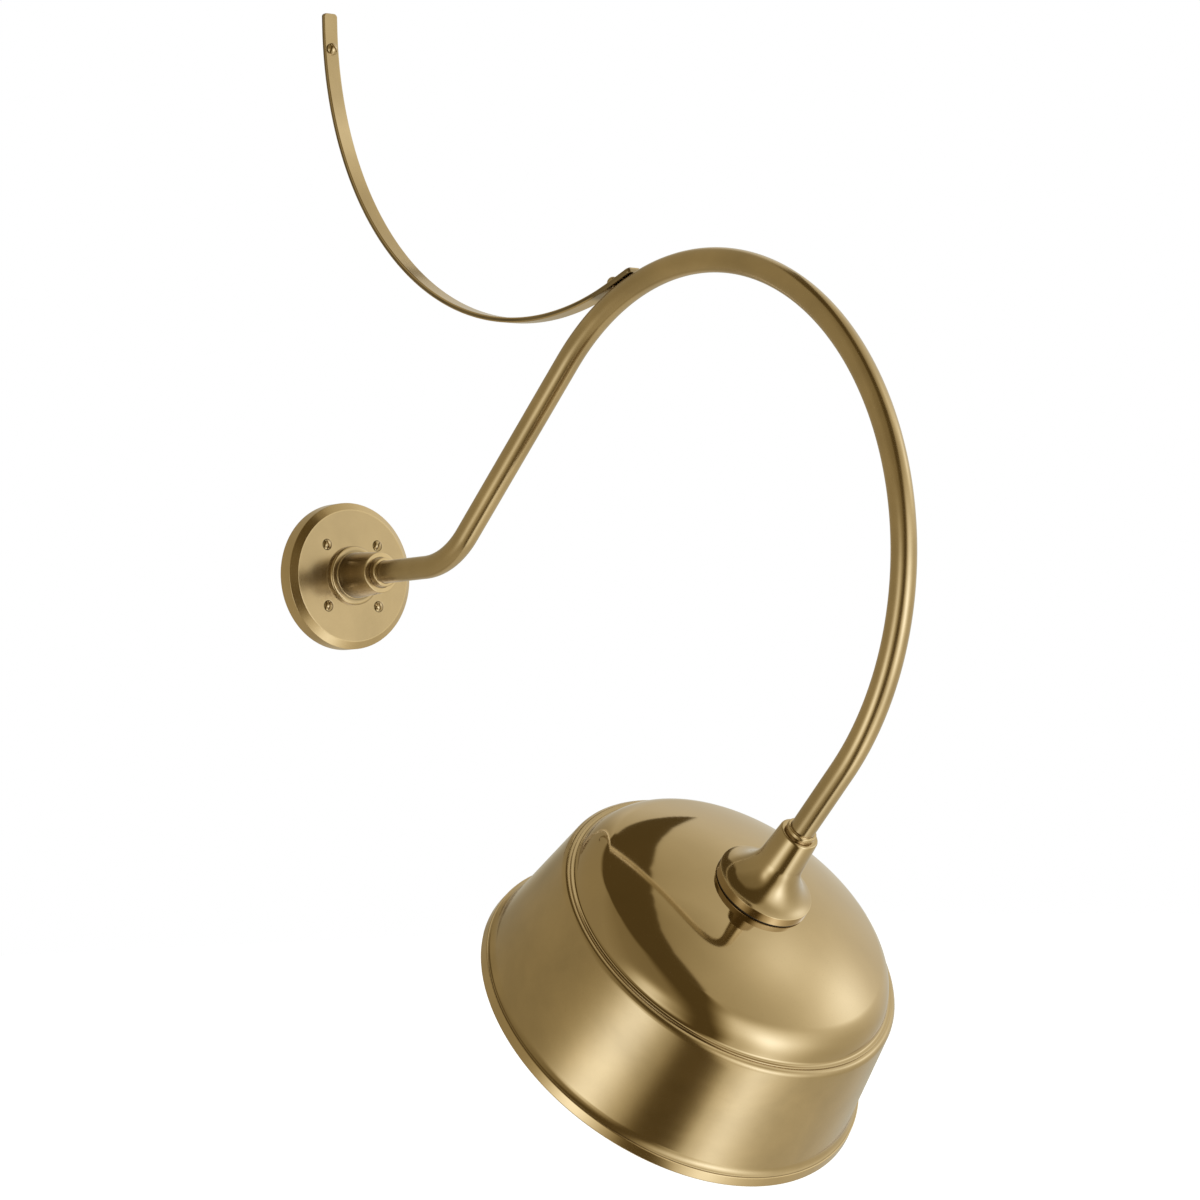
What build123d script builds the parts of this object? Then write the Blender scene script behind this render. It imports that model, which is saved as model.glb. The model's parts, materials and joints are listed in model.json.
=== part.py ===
from build123d import *
import math
import os

# A gooseneck wall sconce of antique brass, in millimetres.
# The wall is the plane y = 0. The sconce reaches out towards -Y, and +Z is up.
# The origin is the middle of the wall plate's back. The arm, the stay and the
# shade's middle line all lie in the plane x = 0.
# Wall pieces are turned about the arm's first run, with their height counted
# out from the wall. Shade pieces are turned about the shade's middle line, with
# their height counted from the top of the fitter towards the lamp.

# ---------------------------------------------------------------- fits
SLIP = 0.1  # all round a piece that slides into another
THREAD_SLIP = 0.05  # all round a thread, which is drawn plain

# ---------------------------------------------------------------- arm
TUBE_OD = 19.05
TUBE_WALL = 1.5
ARM_RUN = 120.5  # wall to the first bend
RISE_ANGLE = 42.66
RISE_BEND_R = 84.8
RISE_RUN = 186.0
CROOK_R = 224.6
CROOK_TURN = 180.0
TAIL_RUN = 64.5  # end of the crook to the top of the fitter

# ---------------------------------------------------------------- wall plate
PLATE_R = 61.9
PLATE_DEPTH = 17.6
PLATE_SIDE = 13.2  # straight part of the side, before the bevel
PLATE_FRONT_R = 55.9
PLATE_WALL = 2.0
PLATE_FACE = 2.5
PLATE_HOLE_SPACING = 51.6  # the four screws stand on a square
PLATE_SCREW_R = 2.0
PLATE_SCREW_HEAD_R = 4.6
PLATE_SCREW_DOME = 1.5
PLATE_SCREW_SINK = 2.0
SINK_RIM = 0.25  # shadow gap round a sunk head

# ---------------------------------------------------------------- mounting disc
DISC_GAP = 4.0  # between the disc's edge and the plate's side
DISC_T = 2.5
DISC_WIRE_HOLE_R = 14.0
PILLAR_R = 4.5
BOX_HOLE_SPACING = 88.9
BOX_HOLE_R = 2.4
GROUND_SCREW_X = 27.0
GROUND_SCREW_R = 2.0
GROUND_HEAD_R = 4.4
GROUND_HEAD_H = 2.4

# ---------------------------------------------------------------- arm hub
HUB_FLANGE_R = 25.0
HUB_FLANGE_H = 4.2
HUB_FLANGE_ROUND = 3.3
HUB_BEAD_R = 19.9
HUB_BEAD_H = 1.1
HUB_BASE_R = 19.3
HUB_END_R = 17.0
HUB_LENGTH = 40.4
HUB_CHAMFER = 0.6
HUB_RECESS_R = 13.0
HUB_RECESS_DEPTH = 1.0
HUB_SOCKET_DEPTH = 29.0
HUB_COLLAR_R = 12.3
HUB_COLLAR_STANDOUT = 6.5
HUB_NIPPLE_R = 8.0
HUB_NIPPLE_BORE_R = 6.3
HUB_NUT_FLATS = 24.0
HUB_NUT_T = 3.6
HUB_WASHER_R = 13.5
WASHER_T = 1.6
NIPPLE_STANDOUT = 1.0  # how far a nipple shows past its nut

# ---------------------------------------------------------------- stay
STAY_WIDTH = 14.2
STAY_T = 4.2
STAY_EDGE_ROUND = 1.3
STAY_CORNER_ROUND = 3.0
STAY_TOP_Z = 481.4
STAY_FOOT = 11.4  # flat length against the wall
STAY_RISE = 19.0  # how steeply the low end climbs along the arm
STAY_TAIL = 25.0  # straight length after the curve
STAY_WALL_SCREW_DROP = 30.9  # top end to the wall screw
STAY_ARM_SCREW_BACK = 27.6  # low end to the arm screw
STAY_SCREW_R = 2.3
STAY_WALL_HEAD_R = 5.2
STAY_WALL_HEAD_H = 4.2
STAY_ARM_HEAD_R = 4.8
STAY_ARM_HEAD_H = 5.2
STAY_ARM_SCREW_BITE = 2.0  # how far the arm screw shows inside the tube

# ---------------------------------------------------------------- fitter
FITTER_COLLAR_R = 11.7
FITTER_COLLAR_H = 3.0
FITTER_COVE_R = 10.6
FITTER_COVE_H = 1.5
FITTER_TOP_R = 15.3
FITTER_TOP_ROUND = 1.6
FITTER_NECK_R = 17.7
FITTER_FLARE_R = 20.0
FITTER_LIP_H = 7.0
FITTER_LIP_T = 4.6
FITTER_LENGTH = 59.7
FITTER_WALL = 3.0
FITTER_SOCKET = 15.0
FITTER_WEB = 12.5
NIPPLE_R = 6.6
NIPPLE_BORE_R = 4.7
GASKET_INSET = 0.5
GASKET_EDGE_T = 1.0
GASKET_WIDTH = 3.2

# ---------------------------------------------------------------- shade
SHEET_T = 1.2
CROWN_R = 262.2
KNUCKLE_R = 30.6
DOME_R = 131.0
DOME_DEPTH = 47.8  # crown to the seam with the skirt
SEAM_FLANGE = 4.0  # width of the dome's turned-out flange
SEAM_COVE_R = 3.0
SKIRT_MARGIN = 4.6  # ledge showing outside the dome's flange
SKIRT_SHOULDER_ROUND = 7.5
SKIRT_LEDGE_LAP = 1.0  # how far the ledge reaches in past the dome's wall
SKIRT_TAPER = 8.85
SKIRT_CONE_DEPTH = 87.95  # ledge to the flare
FLARE_DEPTH = 5.3
FLARE_WIDTH = 4.1
RIM_STANDOUT = 1.3  # rim past the end of the flare
RIM_SPREAD = 1.4  # how much wider the rim is at its end than at its top
RIM_H = 8.1
RIM_GROOVE = 0.3
RIM_TOP_ROUND = 0.8
RIM_ROUND = 1.0

# ---------------------------------------------------------------- lampholder
WASHER_R = 13.0
NUT_FLATS = 19.0
NUT_T = 4.0
HOLDER_R = 19.0
CAP_H = 21.0
CAP_TOP_T = 5.0
CAP_WALL = 2.0
BODY_H = 38.0
BODY_FLOOR = 7.0
CONTACT_ROOM = 5.0  # well under the shell, for the centre contact
CONTACT_WELL_R = 9.5
BODY_EDGE_ROUND = 1.5
SHELL_R = 13.2  # inside, for a medium screw base
SHELL_T = 0.4
SHELL_CLEARANCE = 0.4
SHELL_INSET = 3.0  # mouth of the body to the edge of the shell
SHELL_TERMINAL_X = 12.2
CONTACT_TERMINAL_X = 7.0
TERMINAL_R = 1.2
TERMINAL_HEAD_R = 2.8
TERMINAL_HEAD_H = 2.0
TONGUE_WIDTH = 6.0
TONGUE_T = 0.8
TONGUE_RISE = 3.5
HOLDER_SCREW_Y = 14.8
HOLDER_SCREW_R = 1.5
HOLDER_SCREW_HEAD_R = 2.6
HOLDER_SCREW_HEAD_H = 1.6
HOLDER_SCREW_BITE = 6.0  # depth of the screw in the body

# ---------------------------------------------------------------- leads
LEAD_OD = 2.2
LEAD_PITCH = 2.6  # between the leads, side by side in the arm
LEAD_BEND_R = 4.4
LEAD_SPREAD = 45.0  # slope of a lead to its terminal
CAVITY_LEVEL = 6.9  # middle of the leads in the wall plate, out from the wall
NUT_START = 16.0  # middle of the plate to the open end of a wire nut
WIRE_NUT_R = 4.1
WIRE_NUT_TIP_R = 2.8
WIRE_NUT_LENGTH = 17.0
WIRE_NUT_BORE_DEPTH = 9.0

SLOT_WIDTH = 1.1
SLOT_SHARE = 0.45  # depth of a screwdriver slot, as a share of the dome


# ---------------------------------------------------------------- helpers
def spot(radius, height):
    """Point of the half plane in which profiles are drawn."""
    return Vector(radius, 0, height)


def bow(centre, radius, start, end):
    """Middle and end of an arc about a centre, from one angle to another."""
    def at(angle):
        turn = math.radians(angle)
        return (centre[0] + radius * math.cos(turn), centre[1] + radius * math.sin(turn))

    return (at((start + end) / 2), at(end))


def crown(radius, low, high):
    """Middle and end of the arc from a head's edge up to its middle."""
    rise = high - low
    bend = (radius**2 + rise**2) / (2 * rise)
    edge = math.degrees(math.asin((bend - rise) / bend))
    return bow((0, high - bend), bend, edge, 90)


def outline(first, *steps, rounds=()):
    """Closed face: a pair is the end of an edge, two pairs are an arc's middle and end."""
    edges = []
    here = first
    for step in steps + (first,):
        if isinstance(step[0], tuple):
            middle, end = step
            edges.append(Edge.make_three_point_arc(spot(*here), spot(*middle), spot(*end)))
            here = end
        elif math.dist(step, here) > 1e-6:
            edges.append(Edge.make_line(spot(*here), spot(*step)))
            here = step
    face = Face(Wire(edges))
    for corner, radius in rounds:
        place = spot(*corner)
        vertex = min(face.vertices(), key=lambda v: (Vector(*tuple(v)) - place).length)
        face = face.fillet_2d(radius, [vertex])
    return face


def turned(*steps, rounds=()):
    """Solid turned about the Z axis from a profile of radii and heights."""
    return revolve(outline(*steps, rounds=rounds), Axis.Z, 360)


def ring(inner, outer, low, high):
    """Plain ring or, with no inner radius, a disc."""
    return turned((inner, low), (outer, low), (outer, high), (inner, high))


def rod(x, y, radius, low, high):
    """Upright round bar, also used as the tool that cuts a hole."""
    return Pos(x, y, 0) * ring(0, radius, low, high)


def hexagon_nut(flats, bore, low, high):
    """Nut with its corners turned off."""
    corner = flats / math.sqrt(3)
    bevel = (corner - flats / 2) / 2
    blank = Pos(0, 0, low) * extrude(RegularPolygon(corner, 6), high - low)
    cone = turned((0, low), (flats / 2, low), (corner, low + bevel), (corner, high - bevel),
                  (flats / 2, high), (0, high))
    return (blank & cone) - ring(0, bore, low - 1, high + 1)


def slot(length, top, depth):
    """Screwdriver slot, cut down from the top of a head."""
    return Pos(0, 0, top - depth / 2 + 0.5) * Box(length, SLOT_WIDTH, depth + 1)


def domed_screw(head_r, head_h, shank_r, reach):
    """Round head on the plane z = 0 with its shank below."""
    edge = head_h / 4
    blank = turned((0, -reach), (shank_r, -reach), (shank_r, 0), (head_r, 0), (head_r, edge),
                   crown(head_r, edge, head_h))
    return blank - slot(2 * head_r + 1, head_h, head_h * SLOT_SHARE)


def oval_screw(head_r, sink, dome, shank_r, reach):
    """Sunk head whose dome stands above the plane z = 0."""
    blank = turned((0, -reach), (shank_r, -reach), (shank_r, -sink), (head_r, 0),
                   crown(head_r, 0, dome))
    return blank - slot(2 * head_r + 1, dome, dome * 2 * SLOT_SHARE)


class Route:
    """Straight runs and tangent arcs, each starting where the last one ends."""

    def __init__(self, start, heading):
        self.point = Vector(*start)
        self.heading = Vector(*heading).normalized()
        self.edges = []

    def run(self, length):
        end = self.point + self.heading * length
        self.edges.append(Edge.make_line(self.point, end))
        self.point = end
        return self

    def turn(self, side, radius, angle):
        """Arc about the centre that lies to the side given."""
        side = Vector(*side).normalized()
        centre = self.point + side * radius

        def at(degrees):
            sweep_angle = math.radians(degrees)
            out = self.heading * math.sin(sweep_angle) - side * math.cos(sweep_angle)
            return centre + out * radius

        end = at(angle)
        self.edges.append(Edge.make_three_point_arc(self.point, at(angle / 2), end))
        swing = math.radians(angle)
        self.heading = self.heading * math.cos(swing) + side * math.sin(swing)
        self.point = end
        return self

    def tube(self, radius):
        """Round bar along the route."""
        wire = Wire(self.edges)
        start = Plane(origin=wire @ 0, z_dir=wire % 0)
        return sweep(start * Circle(radius), path=wire)


# ---------------------------------------------------------------- places
RISE = math.radians(RISE_ANGLE)
FALL = math.radians(CROOK_TURN - RISE_ANGLE)  # how steeply the crook ends
CROOK_START_O = ARM_RUN + RISE_BEND_R * math.sin(RISE) + RISE_RUN * math.cos(RISE)
CROOK_START_Z = RISE_BEND_R * (1 - math.cos(RISE)) + RISE_RUN * math.sin(RISE)
CROOK_O = CROOK_START_O + CROOK_R * math.sin(RISE)
CROOK_Z = CROOK_START_Z - CROOK_R * math.cos(RISE)
SHADE_AXIS = Vector(0, -math.cos(FALL), -math.sin(FALL))
CROOK_END = Vector(0, -CROOK_O - CROOK_R * math.sin(FALL), CROOK_Z + CROOK_R * math.cos(FALL))
WALL = Plane(origin=(0, 0, 0), x_dir=(1, 0, 0), z_dir=(0, -1, 0)).location
SHADE = Plane(origin=CROOK_END + SHADE_AXIS * TAIL_RUN, x_dir=(1, 0, 0), z_dir=SHADE_AXIS).location

TUBE_R = TUBE_OD / 2
SOCKET_R = TUBE_R + SLIP
CAVITY_TOP = PLATE_DEPTH - PLATE_FACE
HUB_SOCKET_FLOOR = PLATE_DEPTH + HUB_LENGTH - HUB_SOCKET_DEPTH
HALF_SPACING = PLATE_HOLE_SPACING / 2
CORNERS = [(x * HALF_SPACING, y * HALF_SPACING) for x in (-1, 1) for y in (-1, 1)]
HUB_NUT_LOW = CAVITY_TOP - WASHER_T - HUB_NUT_T

CONE_SLOPE = math.tan(math.radians(SKIRT_TAPER))
APEX = FITTER_LENGTH + GASKET_EDGE_T - (
    CROWN_R - math.sqrt(CROWN_R**2 - (FITTER_NECK_R + FITTER_FLARE_R - GASKET_INSET) ** 2))
CROWN_CENTRE = APEX + CROWN_R
KNUCKLE_CENTRE_R = DOME_R - KNUCKLE_R
KNUCKLE_CENTRE = CROWN_CENTRE - math.sqrt((CROWN_R - KNUCKLE_R) ** 2 - KNUCKLE_CENTRE_R**2)
SEAM_TOP = APEX + DOME_DEPTH
WALL_FOOT_R = KNUCKLE_CENTRE_R + math.sqrt(KNUCKLE_R**2 - (KNUCKLE_CENTRE - SEAM_TOP) ** 2)
SEAM_FLANGE_R = WALL_FOOT_R + SEAM_FLANGE
SKIRT_LEDGE_R = SEAM_FLANGE_R + SKIRT_MARGIN
LEDGE = SEAM_TOP + SHEET_T
FLARE_START = LEDGE + SKIRT_CONE_DEPTH
RIM_TOP = FLARE_START + FLARE_DEPTH + RIM_GROOVE


def crown_height(radius, skin):
    """Height of the crown's surface, skin millimetres below its outside."""
    return CROWN_CENTRE - math.sqrt((CROWN_R - skin) ** 2 - radius**2)


WASHER_TOP = crown_height(WASHER_R, SHEET_T)
NUT_TOP = WASHER_TOP + WASHER_T
CAP_LOW = NUT_TOP + NUT_T
NIPPLE_END = CAP_LOW + CAP_TOP_T + NIPPLE_STANDOUT
BODY_LOW = CAP_LOW + CAP_H
BODY_END = BODY_LOW + BODY_H
FLOOR_END = BODY_LOW + BODY_FLOOR
SHELL_SEAT = FLOOR_END + CONTACT_ROOM
TERMINAL_X = {-1: CONTACT_TERMINAL_X, 1: SHELL_TERMINAL_X}


# ---------------------------------------------------------------- wall pieces
def mounting_disc():
    """Steel disc that is screwed to the wall box and carries the plate on pillars."""
    radius = PLATE_R - PLATE_WALL - DISC_GAP
    body = ring(DISC_WIRE_HOLE_R, radius, 0, DISC_T)
    for x, y in CORNERS:
        body += rod(x, y, PILLAR_R, 0, CAVITY_TOP)
    for x, y in CORNERS:
        body -= rod(x, y, PLATE_SCREW_R + SLIP, -1, CAVITY_TOP + 1)
    for side in (-1, 1):
        body -= rod(side * BOX_HOLE_SPACING / 2, 0, BOX_HOLE_R, -1, DISC_T + 1)
    body -= rod(GROUND_SCREW_X, 0, GROUND_SCREW_R + THREAD_SLIP, -1, DISC_T + 1)
    return body


def wall_plate():
    """Hollow round plate with a bevelled edge and four sunk holes."""
    inner = PLATE_R - PLATE_WALL
    inner_front = PLATE_FRONT_R - PLATE_WALL
    inner_side = PLATE_SIDE - PLATE_FACE
    body = turned((inner, 0), (PLATE_R, 0), (PLATE_R, PLATE_SIDE), (PLATE_FRONT_R, PLATE_DEPTH),
                  (HUB_NIPPLE_R + SLIP, PLATE_DEPTH), (HUB_NIPPLE_R + SLIP, CAVITY_TOP),
                  (inner_front, CAVITY_TOP), (inner, inner_side),
                  rounds=[((PLATE_R, PLATE_SIDE), 0.6), ((PLATE_FRONT_R, PLATE_DEPTH), 0.6)])
    sink = PLATE_SCREW_HEAD_R + SINK_RIM
    neck = PLATE_SCREW_R + SINK_RIM
    hole = turned((0, -1), (neck, -1), (neck, PLATE_DEPTH - PLATE_SCREW_SINK),
                  (sink, PLATE_DEPTH), (sink, PLATE_DEPTH + 1), (0, PLATE_DEPTH + 1))
    for x, y in CORNERS:
        body -= Pos(x, y, 0) * hole
    return body


def plate_screws():
    """Four oval-headed screws, from the plate's front to the disc."""
    reach = PLATE_DEPTH - DISC_T / 2
    screw = oval_screw(PLATE_SCREW_HEAD_R, PLATE_SCREW_SINK, PLATE_SCREW_DOME,
                       PLATE_SCREW_R, reach)
    return [Pos(x, y, PLATE_DEPTH) * screw for x, y in CORNERS]


def ground_screw():
    """Bonding screw of the disc, with the bare lead under its head."""
    screw = domed_screw(GROUND_HEAD_R, GROUND_HEAD_H, GROUND_SCREW_R, LEAD_OD + DISC_T)
    return Pos(GROUND_SCREW_X, 0, DISC_T + LEAD_OD) * screw


def arm_hub():
    """Turned boss with a rounded flange, a small bead and a socket for the arm."""
    base = PLATE_DEPTH
    bead = base + HUB_FLANGE_H
    shaft = bead + HUB_BEAD_H
    end = base + HUB_LENGTH
    recess = end - HUB_RECESS_DEPTH
    nipple = HUB_NIPPLE_R + THREAD_SLIP
    return turned((nipple, base), (HUB_FLANGE_R, base), (HUB_FLANGE_R, bead),
                  (HUB_BEAD_R, bead), (HUB_BEAD_R, shaft), (HUB_BASE_R, shaft),
                  (HUB_END_R, end - HUB_CHAMFER), (HUB_END_R - HUB_CHAMFER, end),
                  (HUB_RECESS_R, end), (HUB_RECESS_R, recess), (SOCKET_R, recess),
                  (SOCKET_R, HUB_SOCKET_FLOOR), (nipple, HUB_SOCKET_FLOOR),
                  rounds=[((HUB_FLANGE_R, bead), HUB_FLANGE_ROUND),
                          ((HUB_BEAD_R, shaft), HUB_BEAD_H / 3)])


def hub_collar():
    """Ring that closes the socket round the arm."""
    low = PLATE_DEPTH + HUB_LENGTH - HUB_RECESS_DEPTH
    high = PLATE_DEPTH + HUB_LENGTH + HUB_COLLAR_STANDOUT
    return turned((SOCKET_R, low), (HUB_COLLAR_R, low), (HUB_COLLAR_R, high), (SOCKET_R, high),
                  rounds=[((HUB_COLLAR_R, high), 0.8)])


def hub_nipple():
    """Hollow threaded stud that draws the hub on to the plate."""
    low = HUB_NUT_LOW - NIPPLE_STANDOUT
    return ring(HUB_NIPPLE_BORE_R, HUB_NIPPLE_R, low, HUB_SOCKET_FLOOR - SLIP)


def hub_washer():
    """Washer inside the plate."""
    return ring(HUB_NIPPLE_R + SLIP, HUB_WASHER_R, CAVITY_TOP - WASHER_T, CAVITY_TOP)


def hub_locknut():
    """Nut inside the plate, on the hollow stud."""
    return hexagon_nut(HUB_NUT_FLATS, HUB_NIPPLE_R + THREAD_SLIP, HUB_NUT_LOW,
                       HUB_NUT_LOW + HUB_NUT_T)


# ---------------------------------------------------------------- arm and stay
def arm_route(start, offset=0.0, end=FITTER_SOCKET - SLIP):
    """Middle line of the arm, from one distance out from the wall down to the fitter."""
    route = Route((offset, -start, 0), (0, -1, 0))
    route.run(ARM_RUN - start)
    route.turn((0, 0, 1), RISE_BEND_R, RISE_ANGLE)
    route.run(RISE_RUN)
    route.turn((0, -math.sin(RISE), -math.cos(RISE)), CROOK_R, CROOK_TURN)
    route.run(TAIL_RUN + end)
    return route


def stay_line():
    """Radius, centre and straight end of the stay, which meets the arm as a tangent."""
    rise = math.radians(STAY_RISE)
    bend_z = STAY_TOP_Z - STAY_FOOT
    reach = CROOK_O * math.sin(rise) + (bend_z - CROOK_Z) * math.cos(rise)
    outer = (reach - CROOK_R - TUBE_R) / (1 + math.sin(rise))
    return bend_z, outer - STAY_T / 2


def stay_end():
    """Frame at the stay's low end: its Z axis stands square to the stay."""
    bend_z, radius = stay_line()
    rise = math.radians(STAY_RISE)
    centre_o = STAY_T / 2 + radius
    out = centre_o + radius * math.sin(rise) + STAY_TAIL * math.cos(rise)
    up = bend_z - radius * math.cos(rise) + STAY_TAIL * math.sin(rise)
    return Plane(origin=(0, -out, up), x_dir=(0, math.cos(rise), -math.sin(rise)),
                 z_dir=(0, math.sin(rise), math.cos(rise))).location


def corner_tool(size):
    """What is cut from a square corner to round it, at the corner (0, 0)."""
    block = Pos(size / 2, size / 2, 0) * Box(size, size, 4 * STAY_T)
    return block - Pos(size, size, 0) * Cylinder(size, 5 * STAY_T)


def stay_strap():
    """Flat bar from the wall to the top of the arm, in one curve."""
    bend_z, radius = stay_line()
    route = Route((0, -STAY_T / 2, STAY_TOP_Z), (0, 0, -1))
    route.run(STAY_FOOT)
    route.turn((0, -1, 0), radius, 90 + STAY_RISE)
    route.run(STAY_TAIL)
    wire = Wire(route.edges)
    start = Plane(origin=wire @ 0, x_dir=(1, 0, 0), z_dir=wire % 0)
    bar = sweep(start * RectangleRounded(STAY_WIDTH, STAY_T, STAY_EDGE_ROUND), path=wire)
    top = Plane(origin=(0, -STAY_T / 2, STAY_TOP_Z), x_dir=(0, 0, -1), z_dir=(0, 1, 0)).location
    corner = corner_tool(STAY_CORNER_ROUND)
    for end in (top, stay_end()):
        bar -= end * Pos(0, -STAY_WIDTH / 2, 0) * corner
        bar -= end * Pos(0, STAY_WIDTH / 2, 0) * Rot(0, 0, -90) * corner
    bar -= top * Pos(STAY_WALL_SCREW_DROP, 0, 0) * Cylinder(STAY_SCREW_R + SLIP, 4 * STAY_T)
    bar -= stay_end() * Pos(STAY_ARM_SCREW_BACK, 0, 0) * Cylinder(STAY_SCREW_R + SLIP, 4 * STAY_T)
    return bar


def stay_depth(drop):
    """How far the stay's wall side stands off the wall, below its flat foot."""
    bend_z, radius = stay_line()
    below = max(drop - STAY_FOOT, 0)
    outer = radius + STAY_T / 2
    return outer - math.sqrt(outer**2 - below**2)


def stay_wall_screw():
    """Round-headed screw of the stay's foot, cut off at the wall."""
    out = stay_depth(STAY_WALL_SCREW_DROP + STAY_WALL_HEAD_R) + STAY_T
    place = Plane(origin=(0, -out, STAY_TOP_Z - STAY_WALL_SCREW_DROP), x_dir=(1, 0, 0),
                  z_dir=(0, -1, 0)).location
    return place * domed_screw(STAY_WALL_HEAD_R, STAY_WALL_HEAD_H, STAY_SCREW_R, out)


def arm_screw_seat():
    """Frame of the arm screw, on the stay's upper face and square to the arm."""
    arc_back = STAY_ARM_SCREW_BACK - STAY_TAIL
    bend_z, radius = stay_line()
    lean = math.radians(STAY_RISE) - max(arc_back, 0) / radius
    along = max(-arc_back, 0)
    inner = math.sqrt((radius - STAY_T / 2) ** 2 - STAY_ARM_HEAD_R**2)
    centre_o = STAY_T / 2 + radius
    out = centre_o + inner * math.sin(lean) + along * math.cos(lean)
    up = bend_z - inner * math.cos(lean) + along * math.sin(lean)
    return Plane(origin=(0, -out, up), x_dir=(1, 0, 0),
                 z_dir=(0, math.sin(lean), math.cos(lean))).location


def arm_screw_reach():
    """Length of the arm screw's shank, to its bite inside the tube."""
    return STAY_T + TUBE_WALL + STAY_ARM_SCREW_BITE


def arm_tube():
    """Bent brass tube from the hub to the fitter."""
    start = HUB_SOCKET_FLOOR + SLIP
    body = arm_route(start).tube(TUBE_R) - arm_route(start).tube(TUBE_R - TUBE_WALL)
    hole = rod(0, 0, STAY_SCREW_R + THREAD_SLIP, -arm_screw_reach() - 1, 1)
    return body - arm_screw_seat() * hole


def stay_arm_screw():
    """Round-headed screw through the stay into the arm."""
    return arm_screw_seat() * domed_screw(STAY_ARM_HEAD_R, STAY_ARM_HEAD_H, STAY_SCREW_R,
                                          arm_screw_reach())


# ---------------------------------------------------------------- fitter
def fitter_collar():
    """Ring round the arm on top of the fitter, coved below its edge."""
    high = -FITTER_COVE_H
    low = high - FITTER_COLLAR_H
    return turned((SOCKET_R, low), (FITTER_COLLAR_R, low), (FITTER_COLLAR_R, high),
                  (FITTER_COVE_R, high), (FITTER_COVE_R, 0), (SOCKET_R, 0),
                  rounds=[((FITTER_COLLAR_R, low), 0.7), ((FITTER_COLLAR_R, high), 0.4)])


def shade_fitter():
    """Cast fitter: tapered neck, trumpet flare and an upright lip over the shade."""
    lip_r = FITTER_NECK_R + FITTER_FLARE_R
    lip_top = FITTER_LENGTH - FITTER_LIP_H
    flare = (lip_r, lip_top - FITTER_FLARE_R)
    seat_r = lip_r - FITTER_LIP_T
    inner = FITTER_FLARE_R + FITTER_WALL
    inner_end = 180 - math.degrees(math.acos(FITTER_LIP_T / inner))
    web_end = FITTER_SOCKET + FITTER_WEB
    bore = NIPPLE_R + THREAD_SLIP
    hollow_r = FITTER_NECK_R - FITTER_WALL
    return turned((bore, FITTER_SOCKET), (SOCKET_R, FITTER_SOCKET), (SOCKET_R, 0),
                  (FITTER_TOP_R, 0), (FITTER_NECK_R, flare[1]),
                  bow(flare, FITTER_FLARE_R, 180, 90), (lip_r, FITTER_LENGTH),
                  (seat_r, FITTER_LENGTH), (seat_r, flare[1] + math.sqrt(inner**2 - FITTER_LIP_T**2)),
                  bow(flare, inner, inner_end, 180), (hollow_r, web_end), (bore, web_end),
                  rounds=[((FITTER_TOP_R, 0), FITTER_TOP_ROUND), ((lip_r, lip_top), 0.5),
                          ((lip_r, FITTER_LENGTH), 0.5)])


def fitter_gasket():
    """Rubber ring between the fitter's flat seat and the round crown."""
    outer = FITTER_NECK_R + FITTER_FLARE_R - GASKET_INSET
    inner = outer - GASKET_WIDTH
    middle = (outer + inner) / 2
    return turned((inner, FITTER_LENGTH), (outer, FITTER_LENGTH), (outer, crown_height(outer, 0)),
                  ((middle, crown_height(middle, 0)), (inner, crown_height(inner, 0))))


def fitter_nipple():
    """Hollow threaded stud from the fitter through the shade to the lampholder."""
    return ring(NIPPLE_BORE_R, NIPPLE_R, FITTER_SOCKET + SLIP, NIPPLE_END)


def fitter_washer():
    """Washer under the crown."""
    return ring(NIPPLE_R + SLIP, WASHER_R, WASHER_TOP, WASHER_TOP + WASHER_T)


def fitter_locknut():
    """Nut that clamps the shade to the fitter."""
    return hexagon_nut(NUT_FLATS, NIPPLE_R + THREAD_SLIP, NUT_TOP, CAP_LOW)


# ---------------------------------------------------------------- shade
def shade_dome():
    """Spun dome: flat crown, tight knuckle and a turned-out flange at the seam."""
    hole = NIPPLE_R + SLIP
    junction = math.degrees(math.asin(KNUCKLE_CENTRE_R / (CROWN_R - KNUCKLE_R)))

    def wall_angle(radius, height):
        return math.degrees(math.acos((KNUCKLE_CENTRE - height) / radius))

    knuckle = (KNUCKLE_CENTRE_R, KNUCKLE_CENTRE)
    top_angle = wall_angle(KNUCKLE_R, SEAM_TOP)
    inside = KNUCKLE_R - SHEET_T
    low_angle = wall_angle(inside, LEDGE)
    hole_angle = math.degrees(math.asin(hole / CROWN_R))
    inner_hole_angle = math.degrees(math.asin(hole / (CROWN_R - SHEET_T)))
    middle = (0, CROWN_CENTRE)
    wall_foot = bow(knuckle, KNUCKLE_R, 0, top_angle - 90)[1]
    edge = SHEET_T / 2
    rim = SEAM_FLANGE_R - edge
    return turned(bow(middle, CROWN_R, 0, hole_angle - 90)[1],
                  bow(middle, CROWN_R, hole_angle - 90, junction - 90),
                  bow(knuckle, KNUCKLE_R, junction - 90, top_angle - 90),
                  (rim, SEAM_TOP),
                  bow((rim, SEAM_TOP + edge), edge, -90, 90),
                  bow(knuckle, inside, 0, low_angle - 90)[1],
                  bow(knuckle, inside, low_angle - 90, junction - 90),
                  bow(middle, CROWN_R - SHEET_T, junction - 90, inner_hole_angle - 90),
                  rounds=[(wall_foot, SEAM_COVE_R)])


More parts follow.
